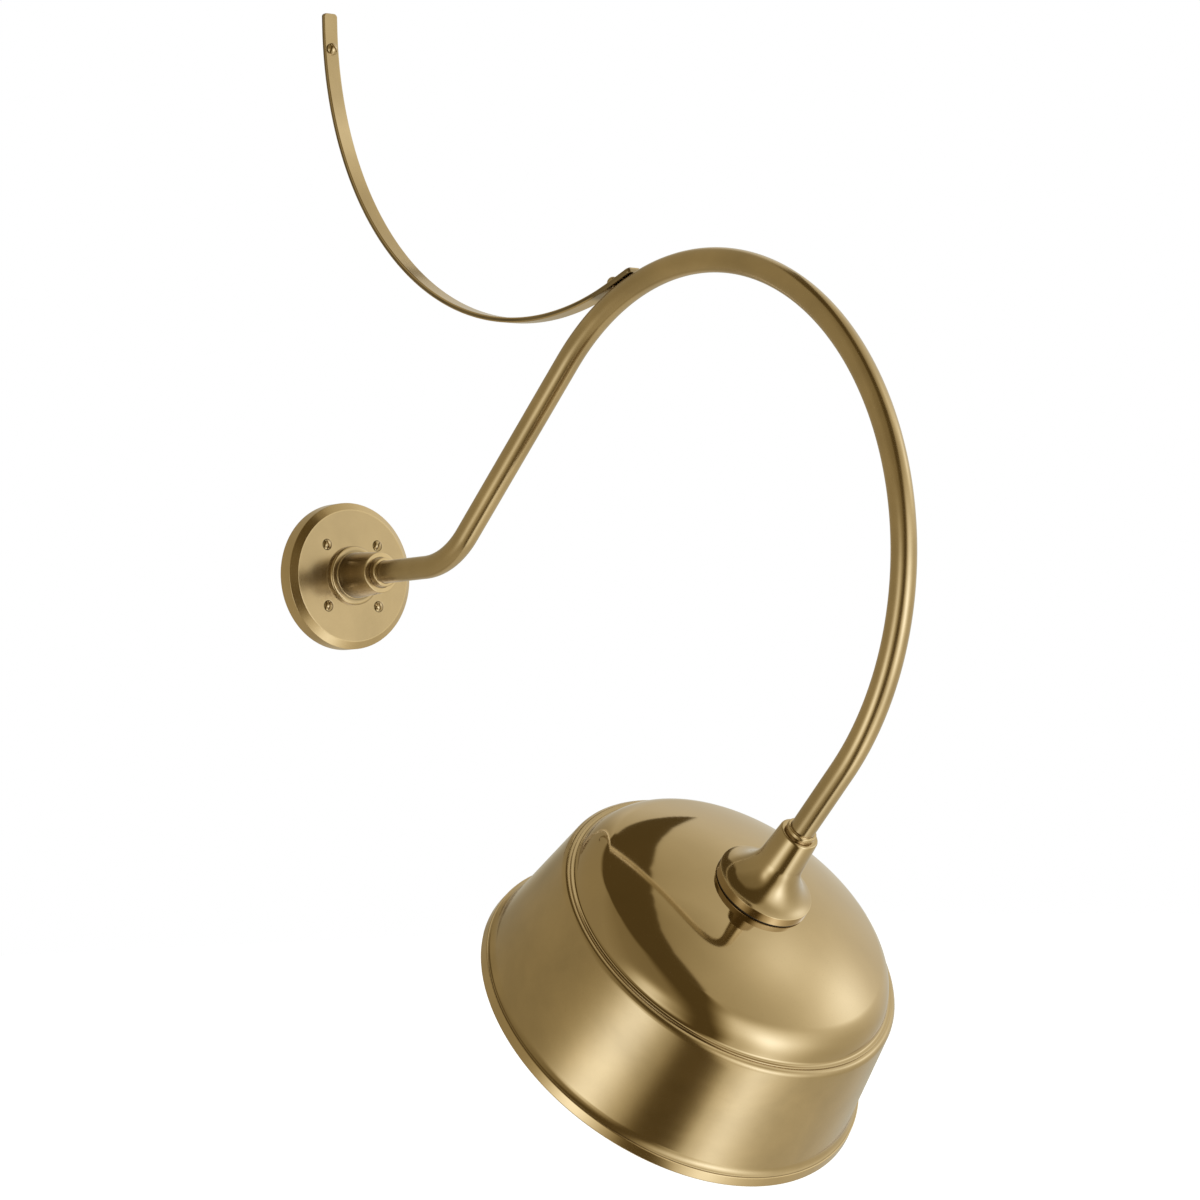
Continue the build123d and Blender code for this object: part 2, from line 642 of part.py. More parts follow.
def shade_skirt():
    """Spun skirt: ledge under the dome, rounded shoulder, cone, flare and rolled rim."""
    slope = CONE_SLOPE
    skin = SHEET_T / math.cos(math.radians(SKIRT_TAPER))
    ledge_in = KNUCKLE_CENTRE_R + KNUCKLE_R - SHEET_T - SKIRT_LEDGE_LAP
    cone_r = SKIRT_LEDGE_R + SKIRT_CONE_DEPTH * slope
    flare_r = cone_r + FLARE_WIDTH
    rim_top_r = flare_r + RIM_STANDOUT
    rim_r = rim_top_r + RIM_SPREAD
    flare_end = FLARE_START + FLARE_DEPTH
    flare_middle = (cone_r + FLARE_WIDTH * 0.36, FLARE_START + FLARE_DEPTH * 0.60)
    inner_corner = (SKIRT_LEDGE_R + SHEET_T * slope - skin, LEDGE + SHEET_T)
    inner_flare = (cone_r - skin, FLARE_START)
    rim_in = flare_r - SHEET_T
    rim_end = RIM_TOP + RIM_H
    return turned((ledge_in, LEDGE), (SKIRT_LEDGE_R, LEDGE), (cone_r, FLARE_START),
                  (flare_middle, (flare_r, flare_end)), (flare_r - RIM_GROOVE / 2, RIM_TOP),
                  (rim_top_r, RIM_TOP), (rim_r, rim_end), (rim_in, rim_end), (rim_in, RIM_TOP),
                  inner_flare, inner_corner, (ledge_in, LEDGE + SHEET_T),
                  rounds=[((SKIRT_LEDGE_R, LEDGE), SKIRT_SHOULDER_ROUND),
                          (inner_corner, SKIRT_SHOULDER_ROUND - SHEET_T),
                          ((rim_top_r, RIM_TOP), RIM_TOP_ROUND), ((rim_r, rim_end), RIM_ROUND),
                          ((rim_in, rim_end), RIM_ROUND / 2)])


# ---------------------------------------------------------------- lampholder
def lampholder_cap():
    """Cup on the hollow stud, which covers the terminals."""
    end = BODY_LOW
    floor = CAP_LOW + CAP_TOP_T
    inner = HOLDER_R - CAP_WALL
    bore = NIPPLE_R + THREAD_SLIP
    body = turned((bore, CAP_LOW), (HOLDER_R, CAP_LOW), (HOLDER_R, end), (inner, end),
                  (inner, floor), (bore, floor),
                  rounds=[((HOLDER_R, CAP_LOW), BODY_EDGE_ROUND)])
    for side in (-1, 1):
        boss = rod(0, side * HOLDER_SCREW_Y, HOLDER_SCREW_R + CAP_WALL, floor - 1, end)
        body += boss & ring(0, HOLDER_R, floor - 1, end)
    for side in (-1, 1):
        body -= rod(0, side * HOLDER_SCREW_Y, HOLDER_SCREW_R + SLIP, CAP_LOW - 1, end + 1)
    return body


def lampholder_body():
    """Porcelain body with a well for the screw shell."""
    well = SHELL_R + SHELL_T + SHELL_CLEARANCE
    body = turned((0, BODY_LOW), (HOLDER_R, BODY_LOW), (HOLDER_R, BODY_END), (well, BODY_END),
                  (well, SHELL_SEAT), (CONTACT_WELL_R, SHELL_SEAT), (CONTACT_WELL_R, FLOOR_END),
                  (0, FLOOR_END),
                  rounds=[((HOLDER_R, BODY_END), BODY_EDGE_ROUND), ((well, BODY_END), 0.8)])
    for side in (-1, 1):
        body -= rod(side * TERMINAL_X[side], 0, TERMINAL_R + SLIP, BODY_LOW - 1, SHELL_SEAT + 1)
        body -= rod(0, side * HOLDER_SCREW_Y, HOLDER_SCREW_R + SLIP, BODY_LOW - 1,
                    BODY_LOW + HOLDER_SCREW_BITE + SLIP)
    return body


def terminal(side, low):
    """Rivet through the body's floor, with its head towards the leads."""
    x = side * TERMINAL_X[side]
    head = rod(x, 0, TERMINAL_HEAD_R, BODY_LOW - TERMINAL_HEAD_H, BODY_LOW)
    return head + rod(x, 0, TERMINAL_R, BODY_LOW - TERMINAL_HEAD_H / 2, low)


def screw_shell():
    """Brass shell for the lamp's base, with its bottom flange riveted to a ledge."""
    outer = SHELL_R + SHELL_T
    mouth = BODY_END - SHELL_INSET
    floor = SHELL_SEAT + SHELL_T
    wall = turned((CONTACT_WELL_R, SHELL_SEAT), (outer, SHELL_SEAT), (outer, mouth),
                  (SHELL_R, mouth), (SHELL_R, floor), (CONTACT_WELL_R, floor))
    return wall + terminal(1, floor)


def centre_contact():
    """Spring tongue that meets the lamp's foot, riveted at one side."""
    foot = FLOOR_END
    half = TONGUE_WIDTH / 2
    heel = -CONTACT_TERMINAL_X - TERMINAL_R
    bend = -CONTACT_TERMINAL_X + TERMINAL_R
    tip = half
    rise = TONGUE_RISE
    thick = TONGUE_T
    side = Polyline((heel, foot), (bend, foot), (-half / 2, foot + rise), (tip, foot + rise),
                    (tip, foot + rise + thick), (-half / 2 - thick / 2, foot + rise + thick),
                    (bend - thick / 2, foot + thick), (heel, foot + thick), close=True)
    strip = extrude(Plane.XZ * make_face(side), half, both=True)
    return strip + terminal(-1, FLOOR_END + TONGUE_T / 2)


def lampholder_screws():
    """Two screws through the cap into the body."""
    reach = CAP_H + HOLDER_SCREW_BITE
    screw = domed_screw(HOLDER_SCREW_HEAD_R, HOLDER_SCREW_HEAD_H, HOLDER_SCREW_R, reach)
    return [Pos(0, side * HOLDER_SCREW_Y, CAP_LOW) * Rot(180, 0, 0) * screw for side in (-1, 1)]


# ---------------------------------------------------------------- leads
def spread_to_terminal(route, side):
    """Ease a lead out sideways and back, to end square on its terminal's head."""
    head_top = BODY_LOW - TERMINAL_HEAD_H
    shift = TERMINAL_X[side] - LEAD_PITCH
    slope = math.radians(LEAD_SPREAD)
    bends = 2 * LEAD_BEND_R * (1 - math.cos(slope))
    slant = (shift - bends) / math.sin(slope)
    depth = 2 * LEAD_BEND_R * math.sin(slope) + slant * math.cos(slope)
    start = NIPPLE_END - NIPPLE_STANDOUT
    route.run(start - (FITTER_SOCKET - SLIP))
    outward = Vector(side, 0, 0)
    route.turn(outward, LEAD_BEND_R, LEAD_SPREAD)
    route.run(slant)
    inward = SHADE_AXIS * math.sin(slope) - outward * math.cos(slope)
    route.turn(inward, LEAD_BEND_R, LEAD_SPREAD)
    route.run(head_top - start - depth)
    return route


def supply_lead(side):
    """Lead from its wire nut up or down in the plate, along the arm, to its terminal."""
    inside = WIRE_NUT_BORE_DEPTH - SLIP
    level = CAVITY_LEVEL
    route = Route((side * LEAD_PITCH, -level, side * (NUT_START + inside)), (0, 0, -side))
    route.run(NUT_START + inside - LEAD_BEND_R)
    route.turn((0, -1, 0), LEAD_BEND_R, 90)
    begin = level + LEAD_BEND_R
    route.run(ARM_RUN - begin)
    route.turn((0, 0, 1), RISE_BEND_R, RISE_ANGLE)
    route.run(RISE_RUN)
    route.turn((0, -math.sin(RISE), -math.cos(RISE)), CROOK_R, CROOK_TURN)
    route.run(TAIL_RUN + FITTER_SOCKET - SLIP)
    return spread_to_terminal(route, side).tube(LEAD_OD / 2)


def ground_lead():
    """Bonding lead from the disc's screw along the arm to the lampholder's cap."""
    level = DISC_T + LEAD_OD / 2
    begin = level + LEAD_BEND_R
    reach = GROUND_SCREW_X - GROUND_SCREW_R - SLIP
    route = Route((reach, -level, 0), (-1, 0, 0))
    route.run(reach - LEAD_BEND_R)
    route.turn((0, -1, 0), LEAD_BEND_R, 90)
    route.run(ARM_RUN - begin)
    route.turn((0, 0, 1), RISE_BEND_R, RISE_ANGLE)
    route.run(RISE_RUN)
    route.turn((0, -math.sin(RISE), -math.cos(RISE)), CROOK_R, CROOK_TURN)
    route.run(TAIL_RUN + NIPPLE_END)
    route.turn(Vector(1, 0, 0).cross(SHADE_AXIS) * -1, LEAD_BEND_R, 90)
    route.run(HOLDER_SCREW_Y - HOLDER_SCREW_R - CAP_WALL - SLIP - LEAD_BEND_R)
    return route.tube(LEAD_OD / 2)


def wire_nuts():
    """Two twist-on connectors on the supply leads."""
    nut = turned((LEAD_OD / 2 + SLIP, 0), (WIRE_NUT_R, 0), (WIRE_NUT_R, WIRE_NUT_LENGTH / 3),
                 (WIRE_NUT_TIP_R, WIRE_NUT_LENGTH), (0, WIRE_NUT_LENGTH),
                 (0, WIRE_NUT_BORE_DEPTH), (LEAD_OD / 2 + SLIP, WIRE_NUT_BORE_DEPTH),
                 rounds=[((WIRE_NUT_TIP_R, WIRE_NUT_LENGTH), 1.2), ((WIRE_NUT_R, 0), 0.5)])
    up = Pos(LEAD_PITCH, -CAVITY_LEVEL, NUT_START) * nut
    down = Pos(-LEAD_PITCH, -CAVITY_LEVEL, -NUT_START) * Rot(180, 0, 0) * nut
    return [up, down]


# ---------------------------------------------------------------- assembly
def placed(location, pieces):
    """One piece or a list of equal pieces, moved into the object's frame."""
    if isinstance(pieces, list):
        return Compound(children=[location * piece for piece in pieces])
    return location * pieces


WALL_PIECES = (mounting_disc, wall_plate, plate_screws, ground_screw, arm_hub, hub_collar,
               hub_nipple, hub_washer, hub_locknut)
SHADE_PIECES = (fitter_collar, shade_fitter, fitter_gasket, fitter_nipple, fitter_washer,
                fitter_locknut, shade_dome, shade_skirt, lampholder_cap, lampholder_body,
                screw_shell, centre_contact, lampholder_screws)
FREE_PIECES = (arm_tube, stay_strap, stay_wall_screw, stay_arm_screw, ground_lead, wire_nuts)


def sconce():
    """Every node of the sconce by its name."""
    nodes = {}
    for make in WALL_PIECES:
        nodes[make.__name__] = placed(WALL, make())
    for make in SHADE_PIECES:
        nodes[make.__name__] = placed(SHADE, make())
    for make in FREE_PIECES:
        nodes[make.__name__] = placed(Location(), make())
    nodes["live_lead"] = supply_lead(-1)
    nodes["neutral_lead"] = supply_lead(1)
    return nodes


os.makedirs("parts", exist_ok=True)
for name, piece in sconce().items():
    export_step(piece, f"parts/{name}.step")
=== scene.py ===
import json
import logging
import math
from dataclasses import dataclass, field
from enum import Enum
from typing import Sequence

import bpy
import numpy as np
from mathutils import Matrix

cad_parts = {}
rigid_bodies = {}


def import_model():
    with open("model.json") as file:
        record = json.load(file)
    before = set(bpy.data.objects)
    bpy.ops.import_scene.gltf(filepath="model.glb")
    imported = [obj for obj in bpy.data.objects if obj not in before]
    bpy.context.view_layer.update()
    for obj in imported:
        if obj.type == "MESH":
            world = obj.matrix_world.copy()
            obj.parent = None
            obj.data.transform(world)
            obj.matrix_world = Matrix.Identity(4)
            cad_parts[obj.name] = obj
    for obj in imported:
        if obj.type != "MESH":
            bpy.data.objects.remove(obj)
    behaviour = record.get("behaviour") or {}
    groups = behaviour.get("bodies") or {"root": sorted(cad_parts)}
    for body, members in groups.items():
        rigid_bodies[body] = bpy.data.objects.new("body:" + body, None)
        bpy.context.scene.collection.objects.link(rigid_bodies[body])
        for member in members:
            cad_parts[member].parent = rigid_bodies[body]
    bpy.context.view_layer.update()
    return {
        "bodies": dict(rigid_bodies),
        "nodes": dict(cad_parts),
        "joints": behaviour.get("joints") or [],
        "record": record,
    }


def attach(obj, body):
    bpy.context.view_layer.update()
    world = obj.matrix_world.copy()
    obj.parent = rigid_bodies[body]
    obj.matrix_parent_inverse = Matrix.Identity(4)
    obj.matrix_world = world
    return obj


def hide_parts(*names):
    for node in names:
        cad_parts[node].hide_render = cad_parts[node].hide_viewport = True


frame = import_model()
LOG = logging.getLogger("sconce")

# The sconce hangs on the wall plane y = 0, reaches out towards -Y, and +Z is up.
# Sizes are in millimetres until a surface becomes a mesh, which is in metres.
MM = 0.001
BODY = "root"


def linked(name: str, data: bpy.types.ID) -> bpy.types.Object:
    """A new object that holds the data, in the scene."""
    made = bpy.data.objects.new(name, data)
    bpy.context.scene.collection.objects.link(made)
    return made


# ---------------------------------------------------------------- shapes
@dataclass(frozen=True)
class Stand:
    """Place on the object with its own three directions, in millimetres."""

    origin: tuple[float, float, float]
    x: tuple[float, float, float]
    z: tuple[float, float, float]

    def axes(self) -> np.ndarray:
        """The x, y and z directions as rows."""
        x, z = np.array(self.x, float), np.array(self.z, float)
        x, z = x / np.linalg.norm(x), z / np.linalg.norm(z)
        return np.array([x, np.cross(z, x), z])

    def place(self, local: np.ndarray) -> np.ndarray:
        """Points given along the stand's directions, in the object's frame."""
        return np.array(self.origin, float) + local @ self.axes()

    def moved(self, x: float = 0.0, y: float = 0.0, z: float = 0.0) -> "Stand":
        """The same directions, from another point given in the stand's own terms."""
        spot = self.place(np.array([[x, y, z]], float))[0]
        return Stand(tuple(spot), self.x, self.z)


@dataclass
class Skin:
    """One surface before it becomes a mesh.

    points: place of each vertex in millimetres.
    quads, tris: rows of vertex numbers, turned outwards.
    quad_uv, tri_uv: a pair for each face corner.
    grain: place of a vertex along and around its own surface, in metres.
    edge: 1 on a rounded outer corner, -1 in an inner one and where shade is painted, otherwise
    0.
    """

    points: np.ndarray
    quads: np.ndarray
    tris: np.ndarray
    quad_uv: np.ndarray
    tri_uv: np.ndarray
    grain: np.ndarray
    edge: np.ndarray

    def placed(self, stand: Stand) -> "Skin":
        """The surface moved on to a stand."""
        return Skin(stand.place(self.points), self.quads, self.tris, self.quad_uv,
                    self.tri_uv, self.grain, self.edge)

    @staticmethod
    def joined(skins: Sequence["Skin"]) -> "Skin":
        """Several surfaces as one, with their vertices kept apart."""
        starts = np.cumsum([0] + [len(s.points) for s in skins[:-1]])
        return Skin(np.concatenate([s.points for s in skins]),
                    np.concatenate([s.quads + n for s, n in zip(skins, starts)]),
                    np.concatenate([s.tris + n for s, n in zip(skins, starts)]),
                    np.concatenate([s.quad_uv for s in skins]),
                    np.concatenate([s.tri_uv for s in skins]),
                    np.concatenate([s.grain for s in skins]),
                    np.concatenate([s.edge for s in skins]))

    def welded(self, gap: float = 1e-4) -> "Skin":
        """The surface with equal points merged, and without faces that vanish.

        Args:
            gap: points closer than this many millimetres are one.

        Returns:
            A surface whose quads have four and whose triangles three different corners.
        """
        key = np.round(self.points / gap).astype(np.int64)
        _, first, number = np.unique(key, axis=0, return_index=True, return_inverse=True)
        number = number.reshape(-1)
        quads, tris = number[self.quads], number[self.tris]
        same = quads == np.roll(quads, -1, axis=1)
        whole = ~same.any(axis=1)
        once = same.sum(axis=1) == 1
        keep = np.argsort(same[once], axis=1, kind="stable")[:, :3]
        keep = np.sort(keep, axis=1)
        rows = np.arange(len(keep))[:, None]
        tris = np.concatenate([tris, quads[once][rows, keep]])
        tri_uv = np.concatenate([self.tri_uv, self.quad_uv[once][rows, keep]])
        fine = (tris != np.roll(tris, -1, axis=1)).all(axis=1)
        return Skin(self.points[first], quads[whole], tris[fine], self.quad_uv[whole],
                    tri_uv[fine], self.grain[first], self.edge[first])

    def normals(self) -> np.ndarray:
        """Unit normal of each vertex: its faces' normals, each counted by the face's area."""
        total = np.zeros_like(self.points)
        for faces in (self.quads, self.tris):
            corner = self.points[faces]
            if faces.shape[1] == 4:
                turn = np.cross(corner[:, 2] - corner[:, 0], corner[:, 3] - corner[:, 1])
            else:
                turn = np.cross(corner[:, 1] - corner[:, 0], corner[:, 2] - corner[:, 0])
            for column in range(faces.shape[1]):
                np.add.at(total, faces[:, column], turn)
        length = np.linalg.norm(total, axis=1, keepdims=True)
        return total / np.maximum(length, 1e-12)

    def mesh(self, name: str, crisp: float | None = None) -> bpy.types.Object:
        """Make the surface a mesh object at the origin.

        Args:
            name: name of the object and its mesh.
            crisp: angle in degrees past which an edge is sharp, or None where every
                corner of the surface is rounded and the normals are worked out here.

        Returns:
            The object, linked to the scene.
        """
        skin = self.welded()
        mesh = bpy.data.meshes.new(name)
        mesh.from_pydata((skin.points * MM).tolist(), [],
                         skin.quads.tolist() + skin.tris.tolist())
        mesh.polygons.foreach_set("use_smooth", np.ones(len(mesh.polygons), bool))
        layer = mesh.uv_layers.new(name="UVMap")
        uv = np.concatenate([skin.quad_uv.reshape(-1, 2), skin.tri_uv.reshape(-1, 2)])
        layer.data.foreach_set("uv", uv.astype(np.float32).ravel())
        grain = mesh.attributes.new("grain", "FLOAT_VECTOR", "POINT")
        grain.data.foreach_set("vector", skin.grain.astype(np.float32).ravel())
        edge = mesh.attributes.new("edge", "FLOAT", "POINT")
        edge.data.foreach_set("value", skin.edge.astype(np.float32))
        if crisp is None:
            mesh.normals_split_custom_set_from_vertices(skin.normals().tolist())
        else:
            mesh.set_sharp_from_angle(angle=math.radians(crisp))
        mesh.update()
        return linked(name, mesh)


class Outline:
    """Closed line in the half plane of radius and height, drawn corner by corner."""

    def __init__(self) -> None:
        """Start with no corners."""
        self.spots: list[np.ndarray] = []
        self.rounds: list[float] = []

    def to(self, radius: float, height: float, rounding: float = 0.2) -> "Outline":
        """A corner, rounded with an arc of the given radius."""
        self.spots.append(np.array([radius, height], float))
        self.rounds.append(rounding)
        return self

    def bow(self, centre: tuple[float, float], radius: float, start: float, end: float,
            steps: int, join: float = 0.0) -> "Outline":
        """An arc about a centre between two angles in degrees, counted from the radius axis.

        Args:
            centre: radius and height of the arc's centre.
            radius: the arc's own radius.
            start, end: its first and last angle.
            steps: pieces that the arc is drawn in.
            join: rounding at its two ends, where it meets its neighbours at a corner.
        """
        angle = np.radians(np.linspace(start, end, steps + 1))
        line = np.array(centre) + radius * np.stack([np.cos(angle), np.sin(angle)], 1)
        self.spots += list(line)
        self.rounds += [join] + [0.0] * (steps - 1) + [join]
        return self

    def drawn(self, steps: int = 5) -> tuple[np.ndarray, np.ndarray]:
        """The line with its corners rounded.

        A rounded corner is the arc that touches both of its runs, cut down to under
        half of the shorter run. The line is turned so that its solid lies to its left.

        Returns:
            The points, and the edge value of each: 1 on an outer rounding, -1 on an inner one.
        """
        spots = np.array(self.spots)
        reach = np.roll(spots, -1, axis=0)
        area = float(np.sum(spots[:, 0] * reach[:, 1] - reach[:, 0] * spots[:, 1]))
        rounds = np.array(self.rounds)
        if area < 0:
            spots, rounds = spots[::-1], rounds[::-1]
        line, edge = [], []
        share = np.linspace(0, 1, steps + 1)[:, None]
        for here, before, after, size in zip(spots, np.roll(spots, 1, axis=0),
                                             np.roll(spots, -1, axis=0), rounds):
            back, on = before - here, after - here
            run = min(np.linalg.norm(back), np.linalg.norm(on))
            if size <= 0 or here[0] < 1e-6 or run < 1e-6:
                line.append(here[None])
                edge.append(np.zeros(1))
                continue
            back, on = back / np.linalg.norm(back), on / np.linalg.norm(on)
            half = math.acos(float(np.clip(back @ on, -1, 1))) / 2
            if half > math.radians(88):
                line.append(here[None])
                edge.append(np.zeros(1))
                continue
            leg = min(size / math.tan(half), 0.48 * run)
            radius = leg * math.tan(half)
            middle = here + (back + on) / np.linalg.norm(back + on) * radius / math.sin(half)
            first, last = here + back * leg - middle, here + on * leg - middle
            sweep = math.pi - 2 * half
            arc = (np.sin((1 - share) * sweep) * first + np.sin(share * sweep) * last)
            line.append(middle + arc / math.sin(sweep))
            outer = back[0] * on[1] - back[1] * on[0] < 0
            edge.append(np.full(steps + 1, 1.0 if outer else -1.0) * min(1.0, 0.6 / radius))
        return np.concatenate(line), np.concatenate(edge)


def grid_skin(points: np.ndarray, grain: np.ndarray, edge: np.ndarray, closed: bool,
              rows_uv: np.ndarray) -> Skin:
    """Surface on a grid whose columns run right round.

    Args:
        points: rows by columns by 3.
        grain: as points.
        edge: one value for each row.
        closed: whether the last row joins the first.
        rows_uv: second coordinate of the UV map for each row, and one more if closed.

    Returns:
        Quads between neighbouring rows. The first coordinate of the map counts columns.
    """
    rows, columns = points.shape[:2]
    number = np.arange(rows * columns).reshape(rows, columns)
    if closed:
        number = np.concatenate([number, number[:1]])
    following = np.roll(number, -1, axis=1)
    quads = np.stack([number[:-1], following[:-1], following[1:], number[1:]], -1)
    turn = np.arange(columns) / columns
    step = 1 / columns
    u = np.stack([turn, turn + step, turn + step, turn], -1)
    low, high = rows_uv[:len(number) - 1], rows_uv[1:len(number)]
    v = np.stack([low, low, high, high], -1)
    uv = np.stack(np.broadcast_arrays(u[None], v[:, None]), -1)
    return Skin(points.reshape(-1, 3), quads.reshape(-1, 4), np.zeros((0, 3), int),
                uv.reshape(-1, 4, 2), np.zeros((0, 3, 2)), grain.reshape(-1, 3),
                np.repeat(edge, columns))


def ring_quads(rows: int, columns: int) -> np.ndarray:
    """Faces between neighbouring rows of a grid whose columns run right round."""
    number = np.arange(rows * columns).reshape(rows, columns)
    following = np.roll(number, -1, axis=1)
    quads = np.stack([number[:-1], following[:-1], following[1:], number[1:]], -1)
    return quads.reshape(-1, 4)


def turned(outline: Outline, steps: int = 160, corner_steps: int = 5) -> Skin:
    """Surface of revolution about the z axis.

    A point is its radius times the cosine and the sine of the turn, and its height. The
    grain is the same circle with the length along the outline as its third number.

    Args:
        outline: closed line of radii and heights.
        steps: columns round the axis.
        corner_steps: pieces in each rounded corner.

    Returns:
        The closed surface.
    """
    line, edge = outline.drawn(corner_steps)
    angle = np.arange(steps) * 2 * math.pi / steps
    x = line[:, :1] * np.cos(angle)
    y = line[:, :1] * np.sin(angle)
    points = np.stack([x, y, np.repeat(line[:, 1:], steps, axis=1)], -1)
    runs = np.linalg.norm(np.roll(line, -1, axis=0) - line, axis=1)
    length = np.concatenate([[0.0], np.cumsum(runs)])
    along = np.repeat(length[:-1, None], steps, axis=1)
    grain = np.stack([x, y, along], -1) * MM
    return grid_skin(points, grain, edge, True, length / length[-1])


class Course:
    """Middle line of straight runs and tangent arcs, with a direction at every point."""

    def __init__(self, start: Sequence[float], heading: Sequence[float]) -> None:
        """Begin at a point, in millimetres, with a heading."""
        self.heading = np.array(heading, float) / np.linalg.norm(heading)
        self.points = [np.array([start], float)]
        self.headings = [self.heading[None]]

    def run(self, length: float, steps: int = 1) -> "Course":
        """A straight run."""
        share = np.arange(1, steps + 1)[:, None] / steps
        self.points.append(self.points[-1][-1] + share * length * self.heading)
        self.headings.append(np.repeat(self.heading[None], steps, axis=0))
        return self

    def turn(self, side: Sequence[float], radius: float, degrees: float,
             steps: int) -> "Course":
        """An arc about the centre that lies to one side, at the radius given."""
        side = np.array(side, float) / np.linalg.norm(side)
        angle = np.radians(degrees) * np.arange(1, steps + 1)[:, None] / steps
        centre = self.points[-1][-1] + side * radius
        self.points.append(centre + radius * (self.heading * np.sin(angle)
                                              - side * np.cos(angle)))
        self.headings.append(self.heading * np.cos(angle) + side * np.sin(angle))
        self.heading = self.headings[-1][-1]
        return self

    def line(self) -> tuple[np.ndarray, np.ndarray, np.ndarray]:
        """The points, the headings and the length from the start to each point."""
        points, headings = np.concatenate(self.points), np.concatenate(self.headings)
        runs = np.linalg.norm(np.diff(points, axis=0), axis=1)
        return points, headings, np.concatenate([[0.0], np.cumsum(runs)])


ACROSS = np.array([1.0, 0.0, 0.0])  # every bent piece lies in the plane x = 0


def swept(points: np.ndarray, headings: np.ndarray, length: np.ndarray,
          sections: np.ndarray, edge: np.ndarray, closed: bool) -> Skin:
    """Section carried along a middle line that lies in the plane x = 0.

    A point is the middle line's point, plus the section's first number across, plus its
    second number along the heading's cross product with that direction.

    Args:
        points, headings, length: the middle line.
        sections: for each of its points, a ring of pairs.
        edge: edge value of each ring point.
        closed: whether the last ring joins the first.

    Returns:
        The surface.
    """
    up = np.cross(headings, ACROSS)
    body = (points[:, None] + sections[..., :1] * ACROSS
            + sections[..., 1:] * up[:, None])
    along = np.broadcast_to(length[:, None, None], sections.shape[:2] + (1,))
    grain = np.concatenate([sections, along], -1) * MM
    rows = np.concatenate([length, length[:1]]) / length.max()
    skin = grid_skin(body, grain, np.zeros(len(points)), closed, rows)
    skin.edge = np.tile(edge, len(points))
    return skin


# ---------------------------------------------------------------- shader work
class Sheet:
    """Node tree that is filled in a few words."""

    def __init__(self, tree: bpy.types.NodeTree) -> None:
        """Keep the tree."""
        self.tree = tree

    @classmethod
    def blank(cls, owner: bpy.types.Material | bpy.types.World) -> "Sheet":
        """The emptied node tree of a material or of the world."""
        owner.use_nodes = True
        owner.node_tree.nodes.clear()
        return cls(owner.node_tree)

    def surface(self, shader: bpy.types.Node, output: str = "OutputMaterial") -> None:
        """Join a shader to the output of the tree."""
        self.tree.links.new(shader.outputs[0], self.add(output).inputs["Surface"])

    def add(self, kind: str, settings: dict | None = None, **inputs: object) -> bpy.types.Node:
        """Add a node.

        Args:
            kind: its type, without the prefix ShaderNode.
            settings: properties of the node.
            inputs: values or output sockets by the input's name, with _ for a space. A
                name of _ and a number picks the input by its place.

        Returns:
            The node.
        """
        node = self.tree.nodes.new("ShaderNode" + kind)
        for key, value in (settings or {}).items():
            setattr(node, key, value)
        for key, value in inputs.items():
            name = key.replace("_", " ").strip()
            socket = node.inputs[int(name)] if name.isdigit() else node.inputs[name]
            if isinstance(value, bpy.types.NodeSocket):
                self.tree.links.new(value, socket)
            else:
                socket.default_value = value
        return node

    def math(self, operation: str, *values: object) -> bpy.types.NodeSocket:
        """A math node on numbers or sockets."""
        inputs = {f"_{n}": value for n, value in enumerate(values)}
        return self.add("Math", {"operation": operation}, **inputs).outputs[0]

    def mix(self, share: object, low: object, high: object) -> bpy.types.NodeSocket:
        """Colour between two others."""
        node = self.add("Mix", {"data_type": "RGBA"})
        for socket, value in zip((node.inputs[0], node.inputs[6], node.inputs[7]),
                                 (share, low, high)):
            if isinstance(value, bpy.types.NodeSocket):
                self.tree.links.new(value, socket)
            else:
                socket.default_value = value
        return node.outputs[2]

    def span(self, value: object, low: float, high: float, start: float = 0.0,
             end: float = 1.0) -> bpy.types.NodeSocket:
        """Carry a value from the range start to end into the range low to high."""
        return self.add("MapRange", None, Value=value, From_Min=start, From_Max=end,
                        To_Min=low, To_Max=high).outputs["Result"]

    def group(self, tree: bpy.types.NodeTree, **inputs: object) -> bpy.types.Node:
        """Place a shared effect with its own values."""
        return self.add("Group", {"node_tree": tree}, **inputs)


def shared_effect(name: str, inputs: dict[str, tuple[str, float | None]],
                  outputs: dict[str, str]) -> tuple[Sheet, bpy.types.Node, bpy.types.Node]:
    """Empty node group with named inputs and outputs.

    Args:
        name: the group's name.
        inputs: socket type and default by name.
        outputs: socket type by name.

    Returns:
        A sheet for its tree, and its input and output nodes.
    """
    tree = bpy.data.node_groups.new(name, "ShaderNodeTree")
    for key, (kind, default) in inputs.items():
        socket = tree.interface.new_socket(name=key, in_out="INPUT",
                                           socket_type="NodeSocket" + kind)
        if default is not None:
            socket.default_value = default
    for key, kind in outputs.items():
        tree.interface.new_socket(name=key, in_out="OUTPUT",
                                  socket_type="NodeSocket" + kind)
    return (Sheet(tree), tree.nodes.new("NodeGroupInput"),
            tree.nodes.new("NodeGroupOutput"))


